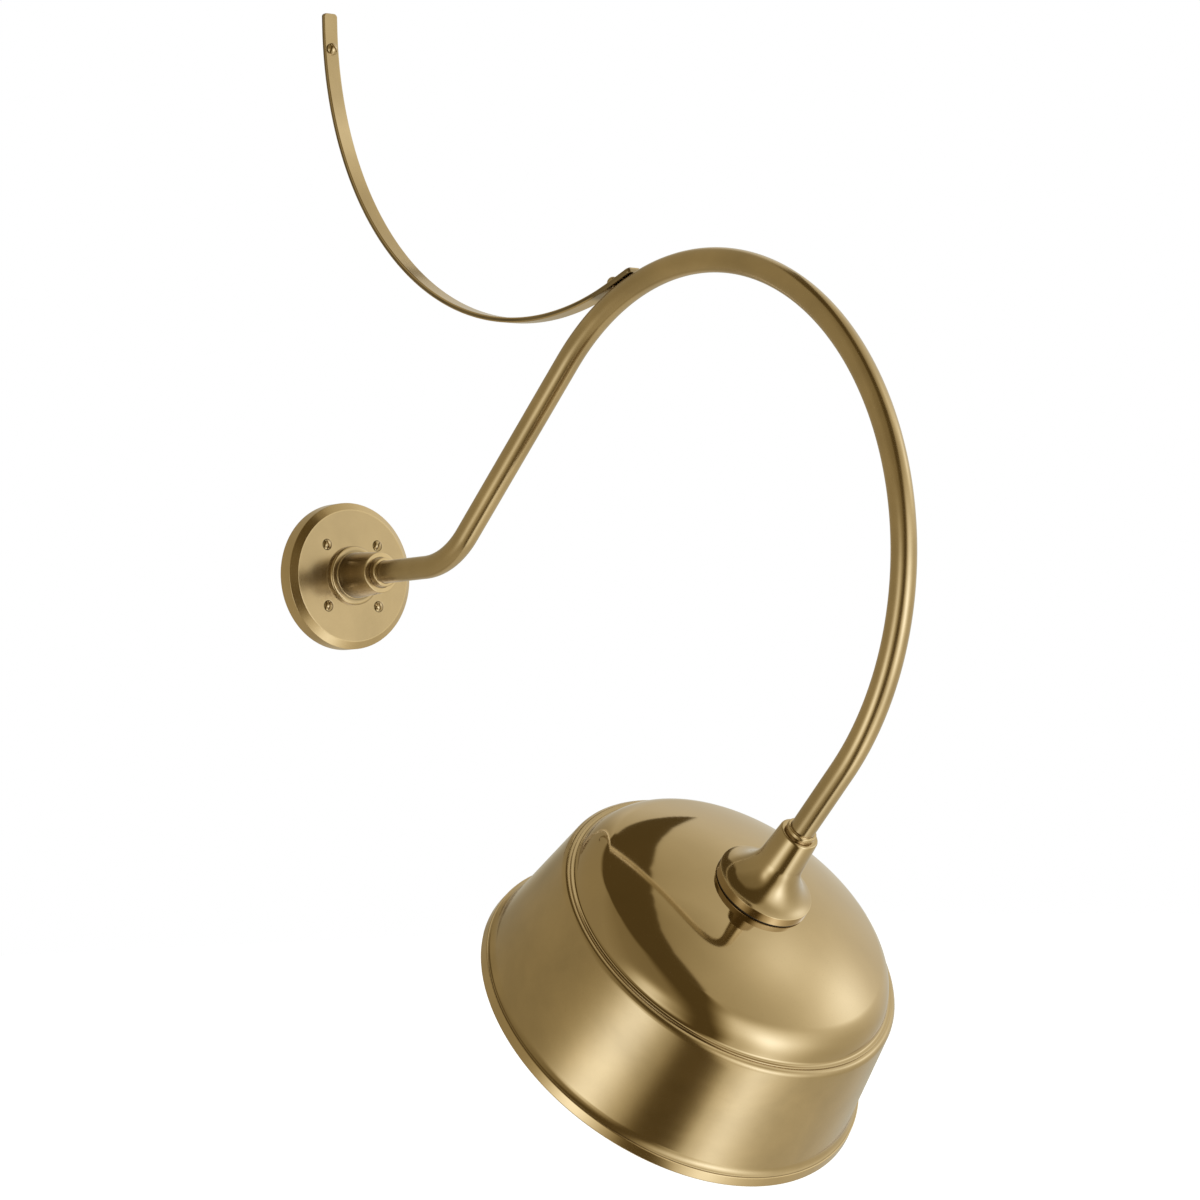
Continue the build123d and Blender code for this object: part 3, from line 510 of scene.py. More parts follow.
class Effects:
    """The effects that several finishes share, each built once."""

    def __init__(self) -> None:
        """Build every group."""
        self.brush_lines = self._brush_lines()
        self.patina_clouds = self._patina_clouds()
        self.edge_wear_and_shade = self._edge_wear_and_shade()

    @staticmethod
    def _brush_lines() -> bpy.types.NodeTree:
        """Fine lines of a brush or a polishing wheel, long one way and thin the other."""
        sheet, given, out = shared_effect(
            "brush_lines",
            {"Vector": ("Vector", None), "Round": ("Float", 20.0), "Along": ("Float", 900.0)},
            {"Lines": "Float"})
        stretch = sheet.add("CombineXYZ", None, X=given.outputs["Round"],
                            Y=given.outputs["Round"], Z=given.outputs["Along"])
        fine = sheet.add("VectorMath", {"operation": "MULTIPLY"}, _0=given.outputs["Vector"],
                         _1=stretch.outputs[0])
        broad = sheet.add("VectorMath", {"operation": "SCALE"}, _0=fine.outputs[0], Scale=0.17)
        first = sheet.add("TexNoise", None, Vector=fine.outputs[0], Scale=1.0, Detail=2.0,
                          Roughness=0.6)
        second = sheet.add("TexNoise", None, Vector=broad.outputs[0], Scale=1.0, Detail=1.0)
        both = sheet.math("ADD", sheet.math("MULTIPLY", first.outputs["Fac"], 0.65),
                          sheet.math("MULTIPLY", second.outputs["Fac"], 0.35))
        sheet.tree.links.new(sheet.span(both, 0, 1, 0.3, 0.7), out.inputs["Lines"])
        return sheet.tree

    @staticmethod
    def _patina_clouds() -> bpy.types.NodeTree:
        """Soft clouds of older and fresher metal, and the small specks among them."""
        sheet, given, out = shared_effect(
            "patina_clouds", {"Vector": ("Vector", None), "Scale": ("Float", 16.0)},
            {"Clouds": "Float", "Specks": "Float"})
        cloud = sheet.add("TexNoise", None, Vector=given.outputs["Vector"],
                          Scale=given.outputs["Scale"], Detail=4.0, Roughness=0.55,
                          Distortion=0.3)
        small = sheet.math("MULTIPLY", given.outputs["Scale"], 60.0)
        speck = sheet.add("TexNoise", None, Vector=given.outputs["Vector"], Scale=small,
                          Detail=2.0, Roughness=0.5)
        sheet.tree.links.new(sheet.span(cloud.outputs["Fac"], 0, 1, 0.32, 0.68),
                             out.inputs["Clouds"])
        sheet.tree.links.new(sheet.span(speck.outputs["Fac"], 0, 1, 0.62, 0.74),
                             out.inputs["Specks"])
        return sheet.tree

    @staticmethod
    def _edge_wear_and_shade() -> bpy.types.NodeTree:
        """Outer corners that handling keeps bright, inner corners that stay dirty, and painted
        shade where the edge value is set below zero for it.
        """
        sheet, given, out = shared_effect(
            "edge_wear_and_shade", {"Edge": ("Float", 0.0), "Clouds": ("Float", 0.5)},
            {"Bright": "Float", "Groove": "Float"})
        breakup = sheet.span(given.outputs["Clouds"], 0.55, 1.0)
        bright = sheet.span(given.outputs["Edge"], 0, 1, 0.15, 0.9)
        groove = sheet.span(given.outputs["Edge"], 0, 1, -0.1, -0.8)
        sheet.tree.links.new(sheet.math("MULTIPLY", bright, breakup), out.inputs["Bright"])
        sheet.tree.links.new(sheet.math("MULTIPLY", groove, breakup), out.inputs["Groove"])
        return sheet.tree


class Way(Enum):
    """Which way the marks of the last polish run on a piece."""

    AROUND = "around the axis"
    ALONG = "along the piece"


Colour = tuple[float, float, float]


def scaled(colour: Colour, share: float) -> tuple[float, float, float, float]:
    """A colour made lighter or darker, with its alpha."""
    return (colour[0] * share, colour[1] * share, colour[2] * share, 1.0)


@dataclass(frozen=True)
class Brass:
    """Aged brass with brush lines, patina, worn bright edges, and painted shade where the edge
    value marks it.

    colour: linear colour of the metal.
    roughness: middle value. swing: how far brush lines and clouds move it.
    way: which way its brush lines run. fineness: lines for each metre, across them.
    relief: height of the brush lines in metres.
    anisotropy: how far they stretch a highlight.
    rub: how much brighter an outer corner is. dirt_and_shade: how much darker an inner one is,
    and how deep the painted shade is.
    cloud: how far the patina's clouds change the colour. coat: weight of the lacquer.
    mirrored: its colour where other brass mirrors it, paler than light off two brasses.
    """

    name: str
    colour: Colour
    roughness: float
    swing: float
    way: Way
    fineness: float = 1500.0
    relief: float = 2e-6
    anisotropy: float = 0.0
    rub: float = 0.25
    dirt_and_shade: float = 0.45
    cloud: float = 0.10
    coat: float = 0.0
    metallic: float = 1.0
    mirrored: Colour = (0.60, 0.52, 0.40)

    def material(self, effects: Effects) -> bpy.types.Material:
        """The finish as a material.

        Args:
            effects: the shared node groups.

        Returns:
            A new material.
        """
        made = bpy.data.materials.new(self.name)
        sheet = Sheet.blank(made)
        grain = sheet.add("Attribute", {"attribute_name": "grain"}).outputs["Vector"]
        edge = sheet.add("Attribute", {"attribute_name": "edge"}).outputs["Fac"]
        place = sheet.add("TexCoord").outputs["Object"]
        across, along = self.fineness, self.fineness / 60
        if self.way is Way.AROUND:
            across, along = along, across
        lines = sheet.group(effects.brush_lines, Vector=grain, Round=across,
                            Along=along).outputs["Lines"]
        patina = sheet.group(effects.patina_clouds, Vector=place)
        clouds, specks = patina.outputs["Clouds"], patina.outputs["Specks"]
        wear_and_shade = sheet.group(effects.edge_wear_and_shade, Edge=edge, Clouds=clouds)
        tone = sheet.mix(clouds, scaled(self.colour, 1 - self.cloud),
                         scaled(self.colour, 1 + self.cloud))
        tone = sheet.mix(sheet.math("MULTIPLY", specks, 0.25), tone, scaled(self.colour, 0.7))
        tone = sheet.mix(wear_and_shade.outputs["Bright"], tone, scaled(self.colour, 1 + self.rub))
        # Inner corners stay dirty, and painted shade darkens where the edge value marks it.
        tone = sheet.mix(wear_and_shade.outputs["Groove"], tone, scaled(self.colour, 1 - self.dirt_and_shade))
        tone = sheet.mix(sheet.add("LightPath").outputs["Is Glossy Ray"], tone,
                         scaled(self.mirrored, 1.0))
        marks = sheet.math("ADD", sheet.math("MULTIPLY", lines, 0.6),
                           sheet.math("MULTIPLY", clouds, 0.4))
        gloss = sheet.span(marks, self.roughness - self.swing, self.roughness + self.swing)
        bump = sheet.add("Bump", None, Height=lines, Distance=self.relief, Strength=1.0)
        shader = sheet.add("BsdfPrincipled", None, Base_Color=tone, Metallic=self.metallic,
                           Roughness=gloss, Normal=bump.outputs["Normal"],
                           Coat_Weight=self.coat, Coat_Roughness=0.08,
                           Anisotropic=self.anisotropy)
        if self.anisotropy:
            shader.inputs["Anisotropic Rotation"].default_value = 0.25
            tangent = sheet.add("Tangent", {"direction_type": "UV_MAP", "uv_map": "UVMap"})
            sheet.tree.links.new(tangent.outputs[0], shader.inputs["Tangent"])
        sheet.surface(shader)
        return made


@dataclass(frozen=True)
class Plain:
    """Steel, porcelain, rubber or plastic with mottling and a fine surface.

    colour: linear colour. metallic, roughness, coat: as the shader takes them.
    mottle: how far the colour changes. scale: size of the mottling, in spots per metre.
    relief: height of the surface's grain in metres.
    """

    name: str
    colour: Colour
    metallic: float
    roughness: float
    mottle: float
    scale: float
    relief: float
    coat: float = 0.0
    subsurface: float = 0.0

    def material(self, effects: Effects) -> bpy.types.Material:
        """The finish as a material.

        Args:
            effects: the shared node groups.

        Returns:
            A new material.
        """
        made = bpy.data.materials.new(self.name)
        sheet = Sheet.blank(made)
        place = sheet.add("TexCoord").outputs["Object"]
        patina = sheet.group(effects.patina_clouds, Vector=place, Scale=self.scale)
        clouds, specks = patina.outputs["Clouds"], patina.outputs["Specks"]
        tone = sheet.mix(clouds, scaled(self.colour, 1 - self.mottle),
                         scaled(self.colour, 1 + self.mottle))
        tone = sheet.mix(sheet.math("MULTIPLY", specks, self.mottle), tone,
                         scaled(self.colour, 0.55))
        gloss = sheet.span(clouds, self.roughness * 0.85, self.roughness * 1.15)
        fine = sheet.add("TexNoise", None, Vector=place, Scale=self.scale * 40, Detail=2.0)
        bump = sheet.add("Bump", None, Height=fine.outputs["Fac"], Distance=self.relief,
                         Strength=1.0)
        shader = sheet.add("BsdfPrincipled", None, Base_Color=tone, Metallic=self.metallic,
                           Roughness=gloss, Normal=bump.outputs["Normal"],
                           Coat_Weight=self.coat, Coat_Roughness=0.05)
        if self.subsurface:
            shader.inputs["Subsurface Weight"].default_value = self.subsurface
            shader.inputs["Subsurface Radius"].default_value = (0.002, 0.0018, 0.0015)
        sheet.surface(shader)
        return made


BRASS: Colour = (0.505, 0.366, 0.178)
SATIN_BRASS = Brass("satin_brass", BRASS, 0.21, 0.03, Way.AROUND, relief=2e-7)
TUBE_BRASS = Brass("tube_brass", BRASS, 0.19, 0.03, Way.ALONG, relief=4e-7,
                   mirrored=(0.88, 0.82, 0.71))
# The stay's larger value deepens its painted shade on the sides and beside the tube.
STAY_BRASS = Brass("stay_brass", BRASS, 0.19, 0.03, Way.ALONG, relief=4e-7, dirt_and_shade=0.7)
CAST_BRASS = Brass("cast_brass", BRASS, 0.12, 0.02, Way.AROUND, relief=3e-7)
MIRROR_BRASS = Brass("mirror_brass", BRASS, 0.06, 0.015, Way.AROUND, fineness=700.0,
                     relief=2e-7, cloud=0.04)
BRUSHED_BRASS = Brass("brushed_brass", BRASS, 0.15, 0.02, Way.AROUND, fineness=1800.0,
                      relief=8e-7, anisotropy=0.15)
SCREW_BRASS = Brass("screw_brass", BRASS, 0.10, 0.03, Way.AROUND, rub=0.4)
CONTACT_BRASS = Brass("contact_brass", (0.60, 0.44, 0.19), 0.24, 0.06, Way.AROUND)
ZINC_STEEL = Plain("zinc_steel", (0.50, 0.50, 0.47), 1.0, 0.34, 0.12, 60.0, 3e-6)
GREEN_STEEL = Plain("green_steel", (0.05, 0.22, 0.07), 0.6, 0.35, 0.15, 90.0, 2e-6, 0.3)
RUBBER = Plain("gasket_rubber", (0.050, 0.036, 0.018), 0.0, 0.62, 0.2, 120.0, 1e-5)
CAP_METAL = Plain("cap_metal", (0.42, 0.40, 0.36), 1.0, 0.32, 0.08, 50.0, 3e-6)
PORCELAIN = Plain("porcelain", (0.80, 0.78, 0.72), 0.0, 0.22, 0.03, 40.0, 8e-6, 0.6, 0.1)
BLACK_INSULATION = Plain("black_insulation", (0.02, 0.02, 0.02), 0.0, 0.45, 0.1, 90.0, 4e-6)
WHITE_INSULATION = Plain("white_insulation", (0.72, 0.72, 0.70), 0.0, 0.45, 0.04, 90.0, 4e-6)
GREEN_INSULATION = Plain("green_insulation", (0.03, 0.25, 0.07), 0.0, 0.45, 0.1, 90.0, 4e-6)
CONNECTOR_PLASTIC = Plain("connector_plastic", (0.62, 0.40, 0.05), 0.0, 0.4, 0.05, 90.0, 6e-6)


class Workshop:
    """Builds each material once, dresses pieces with it and hangs them on the frame."""

    def __init__(self, cad: dict) -> None:
        """Keep the frame and build the shared effects."""
        self.cad = cad
        self.effects = Effects()
        self.made: dict[str, bpy.types.Material] = {}

    def finish(self, kind: Brass | Plain) -> bpy.types.Material:
        """The material of a finish."""
        if kind.name not in self.made:
            self.made[kind.name] = kind.material(self.effects)
        return self.made[kind.name]

    def hang(self, name: str, skin: Skin, kind: Brass | Plain,
             nodes: Sequence[str], crisp: float | None = None) -> None:
        """Make a surface a piece of the sconce.

        Args:
            name: the piece's name.
            skin: its surface in the object's frame.
            kind: its finish.
            nodes: CAD nodes that it stands for.
            crisp: see Skin.mesh.
        """
        piece = skin.mesh(name, crisp)
        piece.data.materials.append(self.finish(kind))
        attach(piece, BODY)
        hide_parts(*nodes)
        LOG.info("%s: %d faces in %s", name, len(piece.data.polygons), kind.name)

    def dress(self, node: str, kind: Brass | Plain) -> None:
        """Give a CAD node its finish."""
        piece = self.cad["nodes"][node]
        piece.data.materials.clear()
        piece.data.materials.append(self.finish(kind))
        LOG.info("%s: kept, in %s", node, kind.name)


# ---------------------------------------------------------------- the arm's line
@dataclass(frozen=True)
class ArmLine:
    """Where the arm runs, in millimetres: out from the wall, up, round and down."""

    run: float = 120.5
    rise_degrees: float = 42.66
    rise_bend: float = 84.8
    rise_run: float = 186.0
    crook_radius: float = 224.6
    crook_degrees: float = 180.0
    tail: float = 64.5
    tube_radius: float = 9.525
    tube_wall: float = 1.5
    hub_socket: float = 29.1  # from the wall to the start of the tube
    fitter_socket: float = 14.9  # of the tube's end inside the fitter

    @property
    def rise(self) -> float:
        """The rising run's slope in radians."""
        return math.radians(self.rise_degrees)

    def crook_centre(self) -> tuple[float, float]:
        """The crook's centre: out from the wall, and height."""
        out = self.run + self.rise_bend * math.sin(self.rise)
        out += self.rise_run * math.cos(self.rise) + self.crook_radius * math.sin(self.rise)
        up = self.rise_bend * (1 - math.cos(self.rise)) + self.rise_run * math.sin(self.rise)
        return out, up - self.crook_radius * math.cos(self.rise)

    def course(self) -> Course:
        """The tube's middle line, from inside the hub to inside the fitter."""
        course = Course((0, -self.hub_socket, 0), (0, -1, 0))
        course.run(self.run - self.hub_socket, 12)
        course.turn((0, 0, 1), self.rise_bend, self.rise_degrees, 36)
        course.run(self.rise_run, 20)
        side = (0, -math.sin(self.rise), -math.cos(self.rise))
        course.turn(side, self.crook_radius, self.crook_degrees, 150)
        course.run(self.tail + self.fitter_socket, 10)
        return course

    def shade_stand(self) -> Stand:
        """Top of the fitter, with z towards the lamp."""
        fall = math.radians(self.crook_degrees - self.rise_degrees)
        out, up = self.crook_centre()
        out += self.crook_radius * math.sin(fall)
        up += self.crook_radius * math.cos(fall)
        out += math.cos(fall) * self.tail
        up -= math.sin(fall) * self.tail
        return Stand((0, -out, up), (1, 0, 0), (0, -math.cos(fall), -math.sin(fall)))


WALL_STAND = Stand((0, 0, 0), (1, 0, 0), (0, -1, 0))
ARM_LINE = ArmLine()
SHADE_STAND = ARM_LINE.shade_stand()


# ---------------------------------------------------------------- screws
@dataclass(frozen=True)
class SlottedScrew:
    """Slotted head with its shank, in millimetres, standing on the plane z = 0.

    radius, height: of the head. rim: upright part of a round head's side.
    sink: depth of the cone under an oval head, or 0 for a round one.
    """

    radius: float
    height: float
    rim: float
    sink: float
    shank: float
    reach: float
    slot_width: float = 1.1
    slot_share: float = 0.45

    def skin(self, turn: float) -> Skin:
        """The screw's surface.

        The head is a height over a disc: a sphere's cap over the rim, with the slot's
        floor where the place across the slot is under half its width. Columns run across
        the slot, and each holds rows from one side of the disc to the other. The side
        goes down from the ends of the columns, and the shank is turned.

        Args:
            turn: how far the slot is turned about the screw, in degrees.
        """
        half, blend = self.slot_width / 2, 0.12
        outer = self.radius * np.sin(np.linspace(0, math.pi / 2, 15))
        wing = outer[outer > half + 2 * blend]
        across = np.concatenate([[0, half - blend, half - 0.01, half, half + blend], wing])
        level = np.concatenate([np.full(3, 1.0), [0.5, 0.0], np.zeros(len(wing))])
        across = np.concatenate([-across[:0:-1], across])
        level = np.concatenate([level[:0:-1], level])
        share = np.linspace(-1, 1, 25)
        reach = np.sqrt(np.maximum(self.radius**2 - across**2, 0))
        side_y = reach[:, None] * np.sin(share * math.pi / 2)
        side_x = np.broadcast_to(across[:, None], side_y.shape)
        rise = self.height - self.rim
        bend = (self.radius**2 + rise**2) / (2 * rise)
        top = self.rim - (bend - rise) + np.sqrt(bend**2 - side_x**2 - side_y**2)
        deep = (self.height if not self.sink else 2 * self.height) * self.slot_share
        floor = self.height - deep
        cut = level[:, None]
        height = np.where(cut == 1.0, np.minimum(floor, top),
                          np.where(cut == 0.5, top - 0.10, top))
        points = np.stack([side_x, side_y, height], -1)
        rows, columns = points.shape[:2]
        number = np.arange(rows * columns).reshape(rows, columns)
        quads = np.stack([number[:-1, :-1], number[1:, :-1], number[1:, 1:],
                          number[:-1, 1:]], -1).reshape(-1, 4)
        head = self._skin(points.reshape(-1, 3), quads)
        low = -0.2 if not self.sink else -0.02
        rim_top = np.concatenate([points[:, 0], points[::-1, -1]])
        rim_low = rim_top * [1, 1, 0] + [0, 0, low]
        count = len(rim_low)
        side = self._skin(np.concatenate([rim_low, rim_top]), ring_quads(2, count))
        ring = np.arange(count)
        fan = np.stack([np.roll(ring, -1), ring, np.full(count, count)], -1)
        base = self._skin(np.concatenate([rim_low, [[0, 0, low]]]), fan)
        under = Outline().to(0, low, 0).to(self.radius, low, 0)
        if self.sink:
            under.to(self.shank, -self.sink, 0)
        else:
            under.to(self.shank, low, 0)
        under.to(self.shank, -self.reach, 0.3).to(0, -self.reach, 0)
        shank = turned(under, 48)
        skin = Skin.joined([head, side, base, shank])
        angle = math.radians(turn)
        spin = np.array([[math.cos(angle), math.sin(angle), 0],
                         [-math.sin(angle), math.cos(angle), 0], [0, 0, 1]])
        skin.points = skin.points @ spin
        return skin

    @staticmethod
    def _skin(points: np.ndarray, faces: np.ndarray) -> Skin:
        """Bare surface of quads or of triangles whose grain is its own place."""
        none = [np.zeros((0, 4), int), np.zeros((0, 3), int)]
        none[4 - faces.shape[1]] = faces
        quads, tris = none
        return Skin(points, quads, tris, np.zeros((len(quads), 4, 2)),
                    np.zeros((len(tris), 3, 2)), points * MM, np.zeros(len(points)))


# ---------------------------------------------------------------- wall plate
@dataclass
class WallPlate:
    """Hollow round plate with a bevelled edge and its four oval screws, in millimetres."""

    radius: float = 61.9
    depth: float = 17.6
    side: float = 13.2
    front_radius: float = 55.9
    wall: float = 2.0
    face: float = 2.5
    bore: float = 8.1
    spacing: float = 51.6
    head_radius: float = 4.6
    head_dome: float = 1.9
    head_sink: float = 2.0
    rim_gap: float = 0.25
    shank: float = 2.0
    disc: float = 2.5
    edge_round: float = 0.7
    steps: int = 192
    patch: int = 8  # columns of the face on each side of a screw's middle
    block: float = 9.0  # rows of the face reach so far in and out from that middle
    block_rows: int = 8
    strip: float = 1.5  # width of the turned band that the flat face joins
    head_ease: float = 0.3  # how much smaller the head is than its sink
    slot_turns: tuple[float, ...] = (-12.0, 20.0, 8.0, -25.0)

    def corners(self) -> list[tuple[float, float]]:
        """The four screws' places."""
        half = self.spacing / 2
        return [(x * half, y * half) for x in (-1, 1) for y in (-1, 1)]

    def border(self, x: float, y: float) -> tuple[np.ndarray, np.ndarray]:
        """Line round the block of the face that holds a screw.

        It runs on two circles about the plate's middle and on two radii, one point for
        each column and row of the face.

        Args:
            x, y: the screw's place.

        Returns:
            The points, and the direction of each from the screw.
        """
        middle = self.spacing / math.sqrt(2)
        rows = np.linspace(middle - self.block, middle + self.block, self.block_rows + 1)
        spread = np.arange(-self.patch, self.patch + 1) * (2 * math.pi / self.steps)
        radius = np.concatenate([np.full(len(spread), rows[0]), rows[1:],
                                 np.full(len(spread) - 1, rows[-1]), rows[-2:0:-1]])
        turn = np.concatenate([spread, np.full(len(rows) - 1, spread[-1]), spread[-2::-1],
                               np.full(len(rows) - 2, spread[0])]) + math.atan2(y, x)
        line = np.stack([radius * np.cos(turn), radius * np.sin(turn)], -1)
        away = line - [x, y]
        return line, away / np.linalg.norm(away, axis=1, keepdims=True)

    def face_skin(self, outer: float, inner: float, height: float, flip: bool) -> Skin:
        """Flat ring with four holes, on a grid of radii and turns.

        Between two radii, a block of columns about each screw is left out. The block's own
        surface runs from its border to the hole's circle: a point is the share s between
        the border's point and the circle's point in the same direction from the middle.

        Args:
            outer, inner: radii of the ring.
            height: its height on the wall's stand.
            flip: whether it faces the wall.

        Returns:
            The surface.
        """
        middle = self.spacing / math.sqrt(2)
        hole = (self.head_radius if not flip else self.shank) + self.rim_gap
        near, far = middle - self.block, middle + self.block
        rows = np.concatenate([np.linspace(inner, near, 6),
                               np.linspace(near, far, self.block_rows + 1)[1:],
                               np.linspace(far, outer, 5)[1:]])
        step = 2 * math.pi / self.steps
        columns = np.arange(self.steps + 1)
        r, t = np.meshgrid(rows, columns * step, indexing="ij")
        number = np.arange(r.size).reshape(r.shape)
        quads = np.stack([number[:-1, :-1], number[:-1, 1:], number[1:, 1:],
                          number[1:, :-1]], -1)
        eighth = self.steps // 8
        from_screw = np.abs((columns[:-1] + 0.5 - eighth) % (self.steps // 4))
        from_screw = np.minimum(from_screw, self.steps // 4 - from_screw)
        in_turn = from_screw < self.patch
        in_radius = (rows[:-1] > near - 1e-6) & (rows[:-1] < far - 1e-6)
        open_cell = ~(in_radius[:, None] & in_turn[None])
        points = np.stack([r * np.cos(t), r * np.sin(t), np.full(r.shape, height)], -1)
        skins = [self._flat(points.reshape(-1, 3), quads[open_cell])]
        share = np.linspace(0, 1, 8)[:, None, None]
        for x, y in self.corners():
            border, way = self.border(x, y)
            plane = border * (1 - share) + ([x, y] + hole * way) * share
            block = np.concatenate([plane, np.full(plane.shape[:2] + (1,), height)], -1)
            skins.append(self._flat(block.reshape(-1, 3), ring_quads(*block.shape[:2])))
        made = Skin.joined(skins)
        corner = made.points[made.quads]
        up = np.cross(corner[:, 2] - corner[:, 0], corner[:, 3] - corner[:, 1])[:, 2]
        wrong = (up < 0) != flip
        made.quads[wrong] = made.quads[wrong][:, ::-1]
        made.quad_uv[wrong] = made.quad_uv[wrong][:, ::-1]
        return made

    def _flat(self, points: np.ndarray, quads: np.ndarray) -> Skin:
        """Flat surface whose grain runs round the plate's middle."""
        radius = np.hypot(points[:, 0], points[:, 1])
        turn = np.arctan2(points[:, 1], points[:, 0]) / (2 * math.pi)
        uv = np.stack([turn, radius / self.radius], -1)[quads]
        jump = uv[..., 0].max(axis=1) - uv[..., 0].min(axis=1) > 0.5
        uv[jump, :, 0] = np.where(uv[jump, :, 0] < 0, uv[jump, :, 0] + 1, uv[jump, :, 0])
        grain = np.stack([points[:, 0], points[:, 1], radius], -1) * MM
        return Skin(points, quads, np.zeros((0, 3), int), uv, np.zeros((0, 3, 2)), grain,
                    np.zeros(len(points)))

    def plate_skin(self) -> Skin:
        """The plate: turned edge and inside, flat front and back face, and four sinks.

        The edge is turned as an open line: from the back face's outer radius, along the
        inside and round the bevel to the front's outer radius.
        """
        inside = self.radius - self.wall
        inner_front = self.front_radius - self.wall
        cavity = self.depth - self.face
        front_in = self.front_radius - self.strip
        back_out = inner_front - self.strip
        core_out = self.bore + self.strip
        shell = Outline()
        shell.to(back_out, cavity, 0).to(inner_front, cavity, 0.4)
        shell.to(inside, self.side - self.face, 0.4).to(inside, 0, 0.25)
        shell.to(self.radius, 0, 0.35).to(self.radius, self.side, self.edge_round)
        shell.to(self.front_radius, self.depth, self.edge_round).to(front_in, self.depth, 0)
        edge = self._opened(turned(shell, self.steps), shell, back_out, front_in)
        bore = Outline().to(core_out, self.depth, 0).to(self.bore, self.depth, 0.3)
        bore.to(self.bore, cavity, 0.3).to(core_out, cavity, 0)
        core = self._opened(turned(bore, self.steps), bore, core_out, core_out)
        skins = [edge, core, self.face_skin(front_in, core_out, self.depth, False),
                 self.face_skin(back_out, core_out, cavity, True)]
        skins += [self.sink_skin(x, y, cavity) for x, y in self.corners()]
        return Skin.joined(skins)

    @staticmethod
    def _opened(skin: Skin, outline: Outline, first: float, last: float) -> Skin:
        """A turned surface without the band that joins its outline's last point to its first."""
        low = min(outline.spots[0][1], outline.spots[-1][1])
        high = max(outline.spots[0][1], outline.spots[-1][1])
        corner = skin.points[skin.quads]
        radius = np.hypot(corner[..., 0], corner[..., 1])
        ends = (np.abs(radius - first) < 1e-6) | (np.abs(radius - last) < 1e-6)
        flat = (np.abs(corner[..., 2] - low) < 1e-6) | (np.abs(corner[..., 2] - high) < 1e-6)
        tall = np.ptp(corner[..., 2], axis=1) > 0.5 * (high - low)
        keep = ~((ends & flat).all(axis=1) & tall)
        skin.quads, skin.quad_uv = skin.quads[keep], skin.quad_uv[keep]
        return skin

    def sink_skin(self, x: float, y: float, cavity: float) -> Skin:
        """Sunk seat and through hole of a screw, open at both faces.

        The rows are the circle in the front, the foot of the cone and the circle in the
        back face. The columns are those of the face's block, so the borders meet.
        """
        way = self.border(x, y)[1]
        head, neck = self.head_radius + self.rim_gap, self.shank + self.rim_gap
        radii = np.array([head, head - 0.12, neck, neck])
        heights = np.array([self.depth, self.depth - 0.1, self.depth - self.head_sink, cavity])
        plane = np.array([x, y]) + radii[:, None, None] * way[None]
        wall = np.concatenate([plane, np.broadcast_to(heights[:, None, None],
                                                      plane.shape[:2] + (1,))], -1)
        skin = self._flat(wall.reshape(-1, 3), ring_quads(*wall.shape[:2]))
        # Painted shade: the sink's walls are darkened down into the gap round the head.
        skin.edge = np.repeat([0.0, -0.5, -1.0, -1.0], wall.shape[1])
        corner = skin.points[skin.quads]
        normal = np.cross(corner[:, 2] - corner[:, 0], corner[:, 3] - corner[:, 1])
        middle_point = corner.mean(axis=1) - [x, y, 0]
        outward = (normal[:, :2] * middle_point[:, :2]).sum(axis=1) > 0
        skin.quads[outward] = skin.quads[outward][:, ::-1]
        skin.quad_uv[outward] = skin.quad_uv[outward][:, ::-1]
        return skin

    def build(self, shop: Workshop) -> None:
        """Make the plate and its screws."""
        shop.hang("wall_plate_shell", self.plate_skin().placed(WALL_STAND), SATIN_BRASS,
                  ["wall_plate"])
        screw = SlottedScrew(self.head_radius - self.head_ease, self.head_dome, 0.05,
                             self.head_sink, self.shank, self.depth - self.disc / 2)
        screws = [screw.skin(turn).placed(WALL_STAND.moved(x, y, self.depth))
                  for (x, y), turn in zip(self.corners(), self.slot_turns)]
        shop.hang("plate_oval_screws", Skin.joined(screws), SCREW_BRASS,
                  ["plate_screws"], crisp=40)


# ---------------------------------------------------------------- arm hub
@dataclass
class ArmHub:
    """Turned boss on the plate, and the collar that closes its socket, in millimetres."""

    base: float = 17.6
    flange_radius: float = 25.0
    flange_height: float = 4.2
    flange_round: float = 3.3
    bead_radius: float = 19.9
    bead_height: float = 1.1
    base_radius: float = 19.3
    end_radius: float = 17.0
    length: float = 40.4
    recess_radius: float = 13.0
    recess_depth: float = 1.0
    socket_radius: float = 9.625
    socket_floor: float = 29.0
    nipple_radius: float = 8.05
    collar_radius: float = 12.3
    collar_standout: float = 6.5

    def build(self, shop: Workshop) -> None:
        """Make the hub and the collar."""
        bead = self.base + self.flange_height
        shaft = bead + self.bead_height
        end = self.base + self.length
        recess = end - self.recess_depth
        hub = Outline()
        hub.to(self.nipple_radius, self.base).to(self.flange_radius, self.base, 0.3)
        hub.to(self.flange_radius, bead, self.flange_round).to(self.bead_radius, bead, 0.25)
        hub.to(self.bead_radius, shaft, 0.45).to(self.base_radius, shaft, 0.25)
        hub.to(self.end_radius, end, 0.7)
        hub.to(self.recess_radius, end, 0.25).to(self.recess_radius, recess, 0.2)
        hub.to(self.socket_radius, recess, 0.2).to(self.socket_radius, self.socket_floor)
        hub.to(self.nipple_radius, self.socket_floor)
        shop.hang("arm_hub_turned", turned(hub).placed(WALL_STAND), SATIN_BRASS,
                  ["arm_hub"])
        high = end + self.collar_standout
        collar = Outline()
        collar.to(self.socket_radius, recess).to(self.collar_radius, recess)
        collar.to(self.collar_radius, high, 0.9).to(self.socket_radius, high, 0.3)
        shop.hang("hub_collar_ring", turned(collar, 128).placed(WALL_STAND), SATIN_BRASS,
                  ["hub_collar"])


